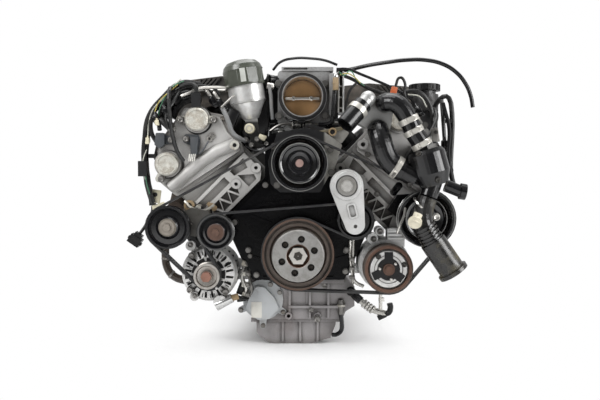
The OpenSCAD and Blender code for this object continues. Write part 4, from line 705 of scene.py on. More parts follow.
NODE_FINISH: dict[str, str] = {
    "engine_block": "cast_aluminium", "crankshaft": "bolt_steel", "crank_damper": "damper_face",
    "crank_bolt": "pale_steel", "sump_upper": "sump_casting", "sump_lower": "sump_casting",
    "side_cover": "grey_plastic", "left_head": "dirty_casting", "right_head": "dirty_casting",
    "left_cam_cover": "dark_cover", "right_cam_cover": "dark_cover", "left_drive_cover": "smooth_aluminium",
    "right_drive_cover": "smooth_aluminium", "cam_actuators": "mottled_aluminium",
    "sensors": "sensor_plastic", "ignition_coils": "black_plastic", "coil_covers": "dark_cover",
    "left_exhaust_manifold": "manifold_iron", "right_exhaust_manifold": "manifold_iron",
    "front_cover": "black_casting", "water_pump_body": "pump_casting", "water_pump_pulley": "pump_pulley",
    "intake_manifold": "black_plastic", "throttle_body": "throttle_casting",
    "throttle_plate": "throttle_brass", "purge_valve": "bright_aluminium",
    "oil_filter_housing": "filter_housing", "oil_filter_element": "filter_paper",
    "oil_filter_cap": "filter_cap", "alternator_body": "alternator_casting",
    "alternator_rotor": "rotor_steel", "compressor_body": "compressor_casting",
    "compressor_pulley": "clutch_pulley", "compressor_clutch_plate": "clutch_face",
    "steering_pump_body": "black_casting", "steering_pump_pulley": "steering_pulley",
    "idler_bracket": "idler_post", "grooved_idler": "grooved_pulley", "smooth_idler": "smooth_pulley",
    "tensioner_base": "tensioner_steel", "tensioner_arm": "arm_aluminium", "tensioner_pulley": "gloss_black",
    "drive_belt": "belt_rubber", "thermostat_housing": "glossy_plastic", "upper_hose": "hose_rubber",
    "lower_hose": "hose_rubber", "bypass_hose": "hose_rubber", "hose_clamps": "band_steel",
    "coolant_crossover": "cast_aluminium", "coolant_outlet": "worn_pipe", "expansion_tank": "tank_plastic",
    "tank_cap": "black_plastic", "left_harness": "loom_sleeve", "right_harness": "loom_sleeve",
    "connectors": "connector_shell", "metal_pipes": "clamp_steel", "cover_bolts": "bolt_steel",
    "vent_hose": "hose_rubber", "sensor_lead": "loom_sleeve", "lead_connector": "black_plastic",
}


# ---- Stage ----


@dataclass(frozen=True)
class Lamp:
    """One soft square lamp that hangs at a point and faces another; metres and watts."""

    name: str
    at: Point
    aim: Point
    side: float
    watts: float

    def hang(self) -> None:
        """Adds the lamp to the scene."""
        data = bpy.data.lights.new(self.name, "AREA")
        data.size = self.side
        data.energy = self.watts
        made = bpy.data.objects.new(self.name, data)
        made.location = self.at
        made.rotation_euler = (Vector(self.at) - Vector(self.aim)).to_track_quat("Z", "Y").to_euler()
        bpy.context.scene.collection.objects.link(made)


@dataclass
class Studio:
    """Camera, soft lamps, pale floor and white background."""

    eye: Vector = field(default_factory=lambda: Vector((0.004, -2.08, 0.170)))
    pitch_deg: float = 2.05
    lens: float = 41.9
    sensor: float = 36.0
    floor_size: float = 14.0
    floor_gap: float = 0.0005
    lamps: tuple[Lamp, ...] = (
        Lamp("key", (-1.5, -1.9, 1.5), (0, -0.4, 0.1), 1.2, 42),
        Lamp("fill", (1.9, -1.6, 0.6), (0, -0.4, 0.05), 1.1, 38),
        Lamp("over", (0.1, -0.3, 1.7), (0, -0.35, 0.1), 1.4, 22),
    )

    def camera(self) -> None:
        """Adds the camera and makes it the scene's own."""
        data = bpy.data.cameras.new("camera")
        data.lens = self.lens
        data.sensor_width = self.sensor
        made = bpy.data.objects.new("camera", data)
        made.location = self.eye
        made.rotation_euler = (math.radians(90 - self.pitch_deg), 0, 0)
        bpy.context.scene.collection.objects.link(made)
        bpy.context.scene.camera = made

    def world(self) -> None:
        """White to the camera, and a soft gradient to the surfaces: dim in front and bright behind."""
        world = bpy.data.worlds.new("studio")
        bpy.context.scene.world = world
        world.use_nodes = True
        tree = world.node_tree
        tree.nodes.clear()
        link = tree.links.new
        coords = tree.nodes.new("ShaderNodeTexCoord")
        split = tree.nodes.new("ShaderNodeSeparateXYZ")
        link(coords.outputs["Generated"], split.inputs[0])
        ramp = tree.nodes.new("ShaderNodeMapRange")
        ramp.inputs[1].default_value = -1.0
        ramp.inputs[2].default_value = 0.4
        ramp.inputs[3].default_value = 0.12
        ramp.inputs[4].default_value = 0.75
        link(split.outputs[1], ramp.inputs[0])
        soft = tree.nodes.new("ShaderNodeBackground")
        link(ramp.outputs[0], soft.inputs["Strength"])
        white = tree.nodes.new("ShaderNodeBackground")
        path = tree.nodes.new("ShaderNodeLightPath")
        mixed = tree.nodes.new("ShaderNodeMixShader")
        out = tree.nodes.new("ShaderNodeOutputWorld")
        for made in (soft, white):
            made.inputs["Color"].default_value = (1, 1, 1, 1)
        link(path.outputs["Is Camera Ray"], mixed.inputs[0])
        link(soft.outputs[0], mixed.inputs[1])
        link(white.outputs[0], mixed.inputs[2])
        link(mixed.outputs[0], out.inputs["Surface"])

    def floor(self, height: float) -> None:
        """Adds the pale floor just under the part, white where nothing shades it.

        Args:
            height: The height of the part's lowest point.
        """
        bpy.ops.mesh.primitive_plane_add(size=self.floor_size, location=(0, 0, height - self.floor_gap))
        made = bpy.context.active_object
        made.name = "floor"
        g = Graph("floor_white")
        shade = g.shader
        g.feed(shade.inputs["Base Color"], (0.88, 0.88, 0.88))
        g.feed(shade.inputs["Roughness"], 0.9)
        glow = g.node("ShaderNodeEmission", None, {"Color": (1.0, 1.0, 1.0), "Strength": 1.0})
        path = g.node("ShaderNodeLightPath")
        near = g.crevice(0.16)
        seen = Value(g, path.outputs["Is Camera Ray"]) * near.between(0.35, 1.0)
        mixed = g.node("ShaderNodeMixShader", None, {0: seen, 1: shade.outputs[0], 2: glow.outputs[0]})
        g.tree.links.new(mixed.outputs[0], g.output.inputs["Surface"])
        made.data.materials.append(g.material)
        made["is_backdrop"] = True

    def build(self, floor_height: float) -> None:
        """Builds the whole stage.

        Args:
            floor_height: The height of the part's lowest point.
        """
        bpy.context.scene.view_settings.view_transform = "Standard"
        self.camera()
        for lamp in self.lamps:
            lamp.hang()
        self.world()
        self.floor(floor_height)


def dress_solids(frame: dict, shop: Shop) -> None:
    """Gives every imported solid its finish.

    Args:
        shop: The finishes.
    """
    for name, solid in frame["nodes"].items():
        solid.data.materials.clear()
        solid.data.materials.append(shop.get(NODE_FINISH[name]))


# ---- Modelling moves ----


class Bench:
    """Modelling moves shared by the sub-assemblies; every length is in metres."""

    @staticmethod
    def clear() -> None:
        """Leaves edit mode and deselects everything."""
        if bpy.context.object and bpy.context.object.mode != "OBJECT":
            bpy.ops.object.mode_set(mode="OBJECT")
        bpy.ops.object.select_all(action="DESELECT")

    @staticmethod
    def settle(name: str) -> bpy.types.Object:
        """Leaves edit mode, names the active object and puts its place into its mesh.

        Args:
            name: The object's name.

        Returns:
            The object.
        """
        if bpy.context.object.mode != "OBJECT":
            bpy.ops.object.mode_set(mode="OBJECT")
        made = bpy.context.active_object
        made.name = made.data.name = name
        bpy.ops.object.transform_apply(location=True, rotation=True, scale=True)
        return made

    @staticmethod
    def select_faces(made: bpy.types.Object, test: Any) -> None:
        """Selects the faces of the edited mesh whose middle and normal pass a test.

        Args:
            made: The object, in edit mode.
            test: Takes a face's middle and normal and says whether it is wanted.
        """
        bpy.ops.mesh.select_all(action="DESELECT")
        bpy.ops.object.mode_set(mode="OBJECT")
        for face in made.data.polygons:
            face.select = bool(test(face.center, face.normal))
        bpy.ops.object.mode_set(mode="EDIT")
        bpy.ops.mesh.select_mode(type="FACE")

    @classmethod
    def modify(cls, made: bpy.types.Object, kind: str, **settings: Any) -> None:
        """Adds a modifier with its settings and applies it.

        Args:
            made: The object.
            kind: The modifier's type.
            settings: The modifier's attributes.
        """
        cls.clear()
        made.select_set(True)
        bpy.context.view_layer.objects.active = made
        modifier = made.modifiers.new(kind.lower(), kind)
        for key, setting in settings.items():
            setattr(modifier, key, setting)
        bpy.ops.object.modifier_apply(modifier=modifier.name)

    @classmethod
    def soften(cls, made: bpy.types.Object, width: float, segments: int = 2) -> None:
        """Rounds the sharp edges of a piece."""
        cls.modify(made, "BEVEL", width=width, segments=segments, limit_method="ANGLE", angle_limit=SHARP)

    @classmethod
    def block(cls, name: str, at: Vector, size: Point, turn: Point = (0, 0, 0), round_by: float = 0.001,
              inset: float = 0.0, sink: float = 0.0) -> bpy.types.Object:
        """A box with rounded edges, and a panel pressed into its front when inset is given.

        Args:
            name: The piece's name.
            at: Its middle.
            size: Its three sides.
            turn: Its turn in degrees about X, Y and Z.
            round_by: Radius of its edges.
            inset: Width of the frame round the pressed panel.
            sink: Depth of the panel.

        Returns:
            The new object.
        """
        cls.clear()
        bpy.ops.mesh.primitive_cube_add(size=1)
        made = bpy.context.active_object
        made.scale = size
        bpy.ops.object.transform_apply(location=False, rotation=False, scale=True)
        if inset:
            bpy.ops.object.mode_set(mode="EDIT")
            cls.select_faces(made, lambda c, n: n.y < -0.9)
            bpy.ops.mesh.inset(thickness=inset)
            bpy.ops.transform.translate(value=(0, sink, 0))
        bpy.ops.object.mode_set(mode="OBJECT")
        made.rotation_euler = [math.radians(a) for a in turn]
        made.location = at
        cls.settle(name)
        if round_by:
            cls.soften(made, round_by)
        return made

    @classmethod
    def rod(cls, name: str, start: Vector, end: Vector, radius: float, sides: int = 24,
            end_radius: Optional[float] = None, round_by: float = 0.0) -> bpy.types.Object:
        """A round bar or cone between two points.

        Args:
            name: The piece's name.
            start: Middle of its first end.
            end: Middle of its other end.
            radius: Radius of the first end.
            sides: Number of sides.
            end_radius: Radius of the other end, when it tapers.
            round_by: Radius of its edges.

        Returns:
            The new object.
        """
        cls.clear()
        along = end - start
        bpy.ops.mesh.primitive_cone_add(vertices=sides, radius1=radius,
                                        radius2=radius if end_radius is None else end_radius,
                                        depth=along.length, location=(start + end) / 2,
                                        rotation=along.to_track_quat("Z", "Y").to_euler())
        made = cls.settle(name)
        if round_by:
            cls.soften(made, round_by)
        return made

    @classmethod
    def lathe(cls, name: str, profile: Sequence[tuple[float, float]], at: Vector, axis: Vector,
              sides: int = 48) -> bpy.types.Object:
        """A turned piece: a chain of points, each a radius and a distance along the axis, spun round it.

        Args:
            name: The piece's name.
            profile: The points, in order.
            at: Where the axis starts.
            axis: Direction of the axis.
            sides: Number of steps round it.

        Returns:
            The new object.
        """
        cls.clear()
        bpy.ops.mesh.primitive_plane_add(size=0.001)
        bpy.ops.object.mode_set(mode="EDIT")
        bpy.ops.mesh.select_mode(type="VERT")
        bpy.ops.mesh.merge(type="CENTER")
        bpy.ops.transform.translate(value=(profile[0][0], 0, profile[0][1]))
        for (r0, h0), (r1, h1) in zip(profile, profile[1:]):
            bpy.ops.mesh.extrude_region_move(TRANSFORM_OT_translate={"value": (r1 - r0, 0, h1 - h0)})
        bpy.ops.mesh.select_all(action="SELECT")
        bpy.ops.mesh.spin(steps=sides, angle=math.tau, center=(0, 0, 0), axis=(0, 0, 1))
        bpy.ops.mesh.select_all(action="SELECT")
        bpy.ops.mesh.remove_doubles(threshold=0.00001)
        bpy.ops.mesh.normals_make_consistent(inside=False)
        bpy.ops.object.mode_set(mode="OBJECT")
        made = bpy.context.active_object
        made.rotation_euler = axis.to_track_quat("Z", "Y").to_euler()
        made.location = at
        return cls.settle(name)

    @classmethod
    def wire(cls, name: str, route: Sequence[Vector], radius: float) -> bpy.types.Object:
        """A round wire or pipe on a smooth curve through its points.

        Args:
            name: The piece's name.
            route: The points, in order.
            radius: Half its thickness.

        Returns:
            The new object.
        """
        cls.clear()
        data = bpy.data.curves.new(name, "CURVE")
        data.dimensions = "3D"
        data.bevel_depth = radius
        data.bevel_resolution = 2
        data.resolution_u = 6
        data.use_fill_caps = True
        spline = data.splines.new("BEZIER")
        spline.bezier_points.add(len(route) - 1)
        for point, at in zip(spline.bezier_points, route):
            point.co = at
            point.handle_left_type = point.handle_right_type = "AUTO"
        made = bpy.data.objects.new(name, data)
        bpy.context.scene.collection.objects.link(made)
        made.select_set(True)
        bpy.context.view_layer.objects.active = made
        bpy.ops.object.convert(target="MESH")
        return bpy.context.active_object

    @classmethod
    def join(cls, name: str, parts: Sequence[bpy.types.Object]) -> bpy.types.Object:
        """Joins parts into one piece, keeping each one's material.

        Args:
            name: The piece's name.
            parts: The parts.

        Returns:
            The joined object.
        """
        cls.clear()
        for part in parts:
            part.select_set(True)
        bpy.context.view_layer.objects.active = parts[0]
        if len(parts) > 1:
            bpy.ops.object.join()
        made = bpy.context.active_object
        made.name = made.data.name = name
        return made

    @classmethod
    def finish(cls, made: bpy.types.Object, body: str) -> None:
        """Shades a finished piece and seats it on its body.

        Args:
            made: The piece, dressed.
            body: The body that it rides on.
        """
        cls.clear()
        made.select_set(True)
        bpy.context.view_layer.objects.active = made
        bpy.ops.object.shade_smooth_by_angle(angle=SHARP)
        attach(made, body)
        LOG.info("piece %s on %s, %d faces", made.name, body, len(made.data.polygons))


def dressed(made: bpy.types.Object, material: bpy.types.Material) -> bpy.types.Object:
    """Gives one part its material before it is joined to others."""
    made.data.materials.clear()
    made.data.materials.append(material)
    return made


def turned_to(at: Vector, direction: Vector, spin_deg: float = 0.0) -> Matrix:
    """The matrix that takes a piece built at the origin along +Z to a place and a direction."""
    turn = direction.to_track_quat("Z", "Y").to_matrix().to_4x4()
    return Matrix.Translation(at) @ turn @ Matrix.Rotation(math.radians(spin_deg), 4, "Z")


# ---- Small stock parts ----


class Stock:
    """Bolts, plugs and hoses that every region uses, each built where it belongs."""

    def __init__(self, shop: Shop, nodes: dict) -> None:
        """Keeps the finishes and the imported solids."""
        self.shop = shop
        self.nodes = nodes

    def seat(self, node: str, x: float, z: float) -> Vector:
        """The foremost point of a solid at a place seen from the front.

        Args:
            node: The solid's name.
            x: Millimetres to the right of the crank's axis.
            z: Millimetres over it.

        Returns:
            The point on its surface in metres, or one near the drive covers' face where the solid isn't met.
        """
        hit, at, _, _ = self.nodes[node].ray_cast(place(x, SIGHT, z), -FRONT)
        if not hit:
            LOG.warning("%s isn't met at x %.0f, z %.0f", node, x, z)
        return at if hit else place(x, COVER_FACE, z)

    def bolt(self, at: Vector, direction: Vector, flats: float = 0.010, finish: str = "bolt_steel",
             spin: float = 0.0) -> bpy.types.Object:
        """A flanged hex bolt's head with a pressed recess.

        Args:
            at: Middle of its seat.
            direction: The way that the head faces.
            flats: Distance across its flats.
            finish: Its finish.
            spin: Turn of the hexagon in degrees.

        Returns:
            The new part.
        """
        height = 0.006
        Bench.clear()
        bpy.ops.mesh.primitive_cylinder_add(vertices=20, radius=flats * 0.72, depth=0.0016,
                                            location=(0, 0, 0.0008))
        washer = Bench.settle("washer")
        Bench.clear()
        bpy.ops.mesh.primitive_cylinder_add(vertices=6, radius=flats * 0.577, depth=height,
                                            location=(0, 0, 0.0014 + height / 2))
        head = bpy.context.active_object
        bpy.ops.object.mode_set(mode="EDIT")
        Bench.select_faces(head, lambda c, n: n.z > 0.9)
        bpy.ops.mesh.inset(thickness=flats * 0.14)
        bpy.ops.transform.translate(value=(0, 0, -height * 0.22))
        Bench.settle("head")
        Bench.soften(head, flats * 0.045, 1)
        made = Bench.join("bolt", [washer, head])
        made.data.transform(turned_to(at, direction, spin))
        return dressed(made, self.shop.get(finish))

    def socket_bolt(self, at: Vector, direction: Vector, radius: float, finish: str) -> bpy.types.Object:
        """A round bolt head with a recess for a key.

        Args:
            at: Middle of its seat.
            direction: The way that the head faces.
            radius: Radius of the head.
            finish: Its finish.

        Returns:
            The new part.
        """
        Bench.clear()
        bpy.ops.mesh.primitive_cylinder_add(vertices=24, radius=radius, depth=radius,
                                            location=(0, 0, radius / 2))
        made = bpy.context.active_object
        bpy.ops.object.mode_set(mode="EDIT")
        Bench.select_faces(made, lambda c, n: n.z > 0.9)
        bpy.ops.mesh.inset(thickness=radius * 0.42)
        bpy.ops.transform.translate(value=(0, 0, -radius * 0.6))
        Bench.settle("socket_bolt")
        Bench.soften(made, radius * 0.12, 1)
        made.data.transform(turned_to(at, direction))
        return dressed(made, self.shop.get(finish))

    def plug(self, at: Vector, direction: Vector, size: Point, spin: float, finish: str) -> bpy.types.Object:
        """An electrical plug: a ribbed box with a latch on it and a round boot for its wires.

        Args:
            at: Where its boot starts.
            direction: The way that it points.
            size: Its width, depth and length.
            spin: Turn about its length in degrees.
            finish: Its finish.

        Returns:
            The new part.
        """
        width, depth, length = size
        shell = Bench.block("shell", Vector((0, 0, length / 2)), (width, depth, length), round_by=0.0008,
                            inset=width * 0.12, sink=0.0008)
        collar = Bench.block("collar", Vector((0, 0, length * 0.78)),
                             (width * 1.12, depth * 1.12, length * 0.18), round_by=0.0006)
        latch = Bench.block("latch", Vector((0, -depth * 0.6, length * 0.42)),
                            (width * 0.4, depth * 0.3, length * 0.6), round_by=0.0005)
        boot = Bench.rod("boot", Vector((0, 0, 0)), Vector((0, 0, -length * 0.35)), width * 0.36, 16,
                         width * 0.22)
        made = Bench.join("plug", [shell, collar, latch, boot])
        made.data.transform(turned_to(at, direction, spin))
        return dressed(made, self.shop.get(finish))

    def bellows(self, start: Vector, end: Vector, radius: float, folds: int, finish: str) -> bpy.types.Object:
        """A length of corrugated hose.

        Args:
            start: Where it starts.
            end: Where it ends.
            radius: Radius of its folds.
            folds: Number of folds.
            finish: Its finish.

        Returns:
            The new part.
        """
        length = (end - start).length
        pitch = length / folds
        profile = [(radius * 0.7, 0.0)]
        for i in range(folds):
            profile += [(radius * 0.84, pitch * (i + 0.1)), (radius, pitch * (i + 0.35)),
                        (radius, pitch * (i + 0.65)), (radius * 0.84, pitch * (i + 0.9))]
        profile.append((radius * 0.7, length))
        made = Bench.lathe("bellows", profile, start, end - start, 32)
        return dressed(made, self.shop.get(finish))


# ---- Cords ----

VENT_ROUTE = [(88, 455, 411), (100, 456, 411), (125, 464, 414), (160, 484, 419), (200, 502, 423),
              (240, 514, 426), (282, 520, 425), (320, 522, 416), (350, 522, 398), (371, 522, 373),
              (383, 522, 346), (388, 522, 320)]
LEAD_ROUTE = [(-330, 500, 100), (-330, 500, 92), (-333, 507, 78), (-339, 516, 63), (-346, 522, 50),
              (-353, 525, 40)]


def curve_piece(name: str, route: Sequence[Point], radius: float,
                finish: bpy.types.Material) -> bpy.types.Object:
    """A round cord along a route, as one open curve.

    Args:
        name: The piece's name.
        route: Points in millimetres, x, forward and up.
        radius: Half its thickness in metres.
        finish: Its material.

    Returns:
        The curve object.
    """
    data = bpy.data.curves.new(name, "CURVE")
    data.dimensions = "3D"
    data.bevel_depth = radius
    data.bevel_resolution = 5
    data.resolution_u = 8
    data.use_fill_caps = True
    spline = data.splines.new("BEZIER")
    spline.bezier_points.add(len(route) - 1)
    for point, at in zip(spline.bezier_points, route):
        point.co = place(*at)
        point.handle_left_type = point.handle_right_type = "AUTO"
    made = bpy.data.objects.new(name, data)
    bpy.context.scene.collection.objects.link(made)
    data.materials.append(finish)
    return made


def build_cords(shop: Shop) -> None:
    """Builds the free vent hose and the free sensor lead.

    Args:
        shop: The finishes.
    """
    vent = curve_piece("vent_hose_run", VENT_ROUTE, 0.0045, shop.get("hose_rubber"))
    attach(vent, "engine")
    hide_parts("vent_hose")
    tuple(place(*VENT_ROUTE[0]))
    lead = curve_piece("sensor_lead_run", LEAD_ROUTE, 0.0035, shop.get("loom_sleeve"))
    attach(lead, "engine")
    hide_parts("sensor_lead")
    tuple(place(*LEAD_ROUTE[0]))


# ---- Small parts, region by region ----


class Body(Enum):
    """The bodies that small parts ride on."""

    ENGINE = "engine"
    CRANK = "crank"
    CLUTCH = "compressor_clutch"
    STEERING_PUMP = "steering_pump"
    THROTTLE = "throttle"
    FILTER_CAP = "filter_cap"


@dataclass(frozen=True)
class Wire:
    """A cable, pipe or hose on a smooth curve; its points are millimetres x, forward and up."""

    radius: float
    finish: str
    route: tuple[Point, ...]
    body: Body = Body.ENGINE

    def build(self, stock: Stock) -> list[bpy.types.Object]:
        """Builds the part."""
        made = Bench.wire("wire", [place(*p) for p in self.route], self.radius / 1000)
        return [dressed(made, stock.shop.get(self.finish))]


@dataclass(frozen=True)
class Rod:
    """A round bar, or a cone when its other end has a radius of its own; millimetres."""

    start: Point
    end: Point
    radius: float
    finish: str
    end_radius: Optional[float] = None
    body: Body = Body.ENGINE
    round_by: float = 0.6

    def build(self, stock: Stock) -> list[bpy.types.Object]:
        """Builds the part."""
        tip = self.radius if self.end_radius is None else self.end_radius
        made = Bench.rod("rod", place(*self.start), place(*self.end), self.radius / 1000, 28, tip / 1000,
                         self.round_by / 1000)
        return [dressed(made, stock.shop.get(self.finish))]


@dataclass(frozen=True)
class Block:
    """A box, turned in the front view, with a pressed panel when inset is given; millimetres and degrees."""

    at: Point
    size: Point
    finish: str
    turn: float = 0.0
    round_by: float = 1.0
    inset: float = 0.0
    sink: float = 0.0
    body: Body = Body.ENGINE

    def build(self, stock: Stock) -> list[bpy.types.Object]:
        """Builds the part."""
        made = Bench.block("block", place(*self.at), tuple(v / 1000 for v in self.size), (0, self.turn, 0),
                           self.round_by / 1000, self.inset / 1000, self.sink / 1000)
        return [dressed(made, stock.shop.get(self.finish))]


@dataclass(frozen=True)
class Ring:
    """A flat ring whose back is at a point and whose axis is a direction of the frame; millimetres."""

    at: Point
    inner: float
    outer: float
    depth: float
    finish: str
    axis: Sequence[float] = (0, -1, 0)
    body: Body = Body.ENGINE

    def build(self, stock: Stock) -> list[bpy.types.Object]:
        """Builds the part."""
        r0, r1, h = self.inner / 1000, self.outer / 1000, self.depth / 1000
        edge = min(0.0006, h * 0.3)
        profile = [(r0, 0), (r0, h - edge), (r0 + edge, h), (r1 - edge, h), (r1, h - edge), (r1, 0), (r0, 0)]
        made = Bench.lathe("ring", profile, place(*self.at), Vector(self.axis))
        return [dressed(made, stock.shop.get(self.finish))]


@dataclass(frozen=True)
class Plug:
    """An electrical plug that points along x, forward and up; millimetres and degrees."""

    at: Point
    direction: Point
    size: Point = (14, 11, 22)
    spin: float = 0.0
    finish: str = "glossy_plastic"
    body: Body = Body.ENGINE

    def build(self, stock: Stock) -> list[bpy.types.Object]:
        """Builds the part."""
        return [stock.plug(place(*self.at), place(*self.direction).normalized(),
                           tuple(v / 1000 for v in self.size), self.spin, self.finish)]


@dataclass(frozen=True)
class Bellows:
    """A corrugated hose between two points; millimetres."""

    start: Point
    end: Point
    radius: float
    folds: int
    finish: str
    body: Body = Body.ENGINE

    def build(self, stock: Stock) -> list[bpy.types.Object]:
        """Builds the part."""
        return [stock.bellows(place(*self.start), place(*self.end), self.radius / 1000, self.folds,
                              self.finish)]


@dataclass(frozen=True)
class Bolt:
    """A hex bolt whose seat is at a point; millimetres."""

    at: Point
    flats: float
    finish: str = "bolt_steel"
    body: Body = Body.ENGINE

    def build(self, stock: Stock) -> list[bpy.types.Object]:
        """Builds the part."""
        return [stock.bolt(place(*self.at), FRONT, self.flats / 1000, self.finish)]


@dataclass(frozen=True)
class Bolts:
    """Hex bolts seated on a solid at places seen from the front, each x and z; millimetres."""

    node: str
    spots: Spots
    flats: float = 10.0
    finish: str = "bolt_steel"
    body: Body = Body.ENGINE

    def build(self, stock: Stock) -> list[bpy.types.Object]:
        """Builds the bolts, each turned a little further than the one before it."""
        return [stock.bolt(stock.seat(self.node, x, z), FRONT, self.flats / 1000, self.finish, spin=17.0 * i)
                for i, (x, z) in enumerate(self.spots)]


Part = Union[Wire, Rod, Block, Ring, Plug, Bellows, Bolt, Bolts]


@dataclass
class Region:
    """Small fitted parts of one area of the engine, closed as one piece for each body they ride on."""

    stock: Stock
    name: str = "region"
    parts: tuple[Part, ...] = ()
    made: dict[Body, list[bpy.types.Object]] = field(default_factory=dict)

    def add(self, part: bpy.types.Object, finish: Optional[str] = None, body: Body = Body.ENGINE) -> None:
        """Keeps a part for one body, dressed in a finish when one is given."""
        if finish is not None:
            dressed(part, self.stock.shop.get(finish))
        self.made.setdefault(body, []).append(part)

    def put(self, part: Part) -> None:
        """Builds one part and keeps it for its body."""
        for made in part.build(self.stock):
            self.add(made, body=part.body)

    def detail(self) -> None:
        """Builds the parts that a pattern or another solid places."""
        raise NotImplementedError

    def build(self) -> None:
        """Builds the region's parts and joins those of each body into one piece."""
        for part in self.parts:
            self.put(part)
        self.detail()
        for body, parts in self.made.items():
            Bench.finish(Bench.join(f"{self.name}_{body.value}", parts), body.value)


@dataclass
class LeftBank(Region):
    """Bolts, black rings of painted shadow round the caps, plugs and wires of the left bank's drive cover."""

    name: str = "left_bank"
    caps: Spots = ((-221, 291), (-284, 193))
    # Inner and outer radius and depth of the black ring of painted shadow round each cap
    cap_shadow_ring: tuple[float, float, float] = (28, 31.5, 3)
    slot_ends: Spots = ((-189, 257), (-196, 250))
    slot_ring: tuple[float, float, float] = (3, 6.5, 4)
    face: float = 532
    pins: tuple[float, ...] = (-237, -233, -229, -225)
    pin_top: float = 216
    pin_foot: float = 200
    top_plugs: Spots = ((-196, 344), (-178, 338))
    top_plug_lean: float = 35
    top_plug_size: Point = (12, 12, 26)
    parts: tuple[Part, ...] = (
        Bolts("cam_actuators", ((-257, 291), (-185, 291), (-301, 161)), 11),
        Bolts("sensors", ((-246, 249), (-280, 247)), 10),
        Bolts("left_drive_cover", ((-189, 258), (-168, 296)), 8),
        Wire(2.0, "sensor_plastic", ((-217, 545, 216), (-208, 546, 226), (-197, 542, 245))),
        Ring((-139, 548, 235), 4.5, 10.5, 4, "mottled_aluminium"),
        Rod((-139, 547, 235), (-139, 550, 235), 4.4, "black_plastic"),
        # Sleeved wires and their plugs over and beside the cover
        Wire(5, "loom_sleeve", ((-232, 480, 366), (-252, 500, 366), (-276, 522, 350), (-296, 534, 326),
                                (-306, 540, 296), (-303, 548, 268))),
        Wire(6, "loom_sleeve", ((-225, 470, 378), (-262, 505, 376), (-300, 528, 340), (-330, 530, 300),
                                (-340, 528, 250), (-343, 524, 200), (-336, 520, 150), (-326, 512, 108))),
        Wire(3.5, "loom_sleeve", ((-262, 512, 362), (-274, 540, 330), (-288, 552, 300), (-282, 556, 270))),
        Wire(3.0, "loom_sleeve", ((-196, 502, 358), (-214, 506, 364), (-236, 510, 358), (-262, 520, 350))),
        Wire(3.0, "loom_sleeve", ((-176, 502, 350), (-186, 506, 362), (-214, 508, 370), (-250, 512, 366))),
        Wire(5, "loom_sleeve", ((-223, 545, 350), (-225, 542, 364), (-240, 530, 370), (-262, 518, 366))),
        Wire(1.5, "wire_white", ((-262, 512, 384), (-280, 530, 362), (-296, 541, 338), (-318, 542, 314),
                                 (-328, 540, 284), (-331, 540, 254))),
        Wire(1.2, "wire_green", ((-256, 510, 380), (-276, 530, 366), (-290, 542, 344), (-302, 546, 318),
                                 (-308, 548, 290))),
        Wire(1.2, "wire_yellow", ((-268, 515, 372), (-286, 540, 350), (-304, 548, 330), (-314, 548, 306))),
        Wire(1.2, "wire_white", ((-334, 538, 226), (-342, 536, 206), (-344, 532, 180), (-340, 528, 160))),
        Wire(1.2, "wire_green", ((-338, 534, 170), (-336, 530, 150), (-331, 524, 128))),
        Plug((-312, 546, 302), (0.25, 0, -1), (13, 12, 22)),
        Plug((-292, 550, 316), (0.6, 0, -0.8), (13, 12, 22)),
        Plug((-331, 540, 252), (-0.05, 0, -1), (7, 8, 14), finish="cream_plastic"),
        Plug((-308, 552, 290), (0.1, 0, -1), (7, 8, 12), finish="cream_plastic"),
        # Pipe over the cover
        Wire(3.7, "pale_steel", ((-274, 520, 334), (-262, 520, 344), (-242, 518, 353), (-222, 514, 363),
                                 (-196, 508, 366), (-160, 500, 366))),
        # Hoses and plugs behind, between the cover and the bank's wires
        Wire(10, "hose_rubber", ((-230, 470, 352), (-262, 492, 350), (-284, 506, 330), (-294, 512, 300))),
        Wire(8, "hose_rubber", ((-222, 486, 340), (-250, 502, 338), (-270, 512, 320), (-280, 516, 296))),
        Wire(5, "loom_sleeve", ((-316, 532, 318), (-324, 538, 290), (-322, 540, 262), (-310, 541, 240))),
        Rod((-302, 546, 292), (-277, 549, 269), 7, "loom_sleeve"),
        Rod((-281, 549, 273), (-272, 549, 264), 8, "bolt_steel"),
        Block((-276, 518, 342), (30, 20, 22), "black_plastic", 35, 3, 3, 1),
        Block((-295, 520, 312), (18, 18, 34), "glossy_plastic", 12, 3, 3, 1),
        Block((-154, 498, 288), (26, 20, 62), "black_plastic", 22, 5),
        # Bracket and bearing bolts at the foot of the bank
        Block((-321, 506, 122), (22, 5, 30), "cream_plastic", 8, 2),
        Block((-314, 507, 98), (30, 5, 16), "cream_plastic", -18, 2),
        Rod((-322, 508, 126), (-322, 509.5, 126), 5, "dark_steel"),
        Bolts("left_head", ((-236, 104), (-214, 96)), 11),
        Ring((-242, 520, 102), 6, 12, 12, "tan_plastic"),
        Rod((-222, 512, 97), (-222, 536, 97), 8, "mottled_aluminium", 6),
        Rod((-200, 512, 104), (-186, 530, 96), 7, "tan_plastic"),
        Wire(3, "mottled_aluminium", ((-252, 530, 112), (-232, 540, 96), (-206, 540, 92), (-186, 536, 104))),
    )

    def detail(self) -> None:
        """Builds the black rings of painted shadow round the caps, the slot's ends, the sensor's pins and the
        plugs on top.
        """
        # A black ring round each cap's rim stands for the shadow there: painted shadow
        for x, z in self.caps:
            self.put(Ring((x, self.face, z), *self.cap_shadow_ring, "loom_sleeve"))
        for x, z in self.slot_ends:
            self.put(Ring((x, self.face + 1, z), *self.slot_ring, "pale_steel"))
        for x in self.pins:
            self.put(Rod((x, 552, self.pin_top), (x - 2, 553, self.pin_foot), 1.0, "white_plastic",
                         round_by=0))
        lean = math.radians(self.top_plug_lean)
        for x, z in self.top_plugs:
            self.put(Plug((x, 508, z), (math.sin(lean), 0, -math.cos(lean)), self.top_plug_size))
            self.put(Rod((x - 12, 506, z + 18), (x, 508, z + 1), 4, "pale_steel"))


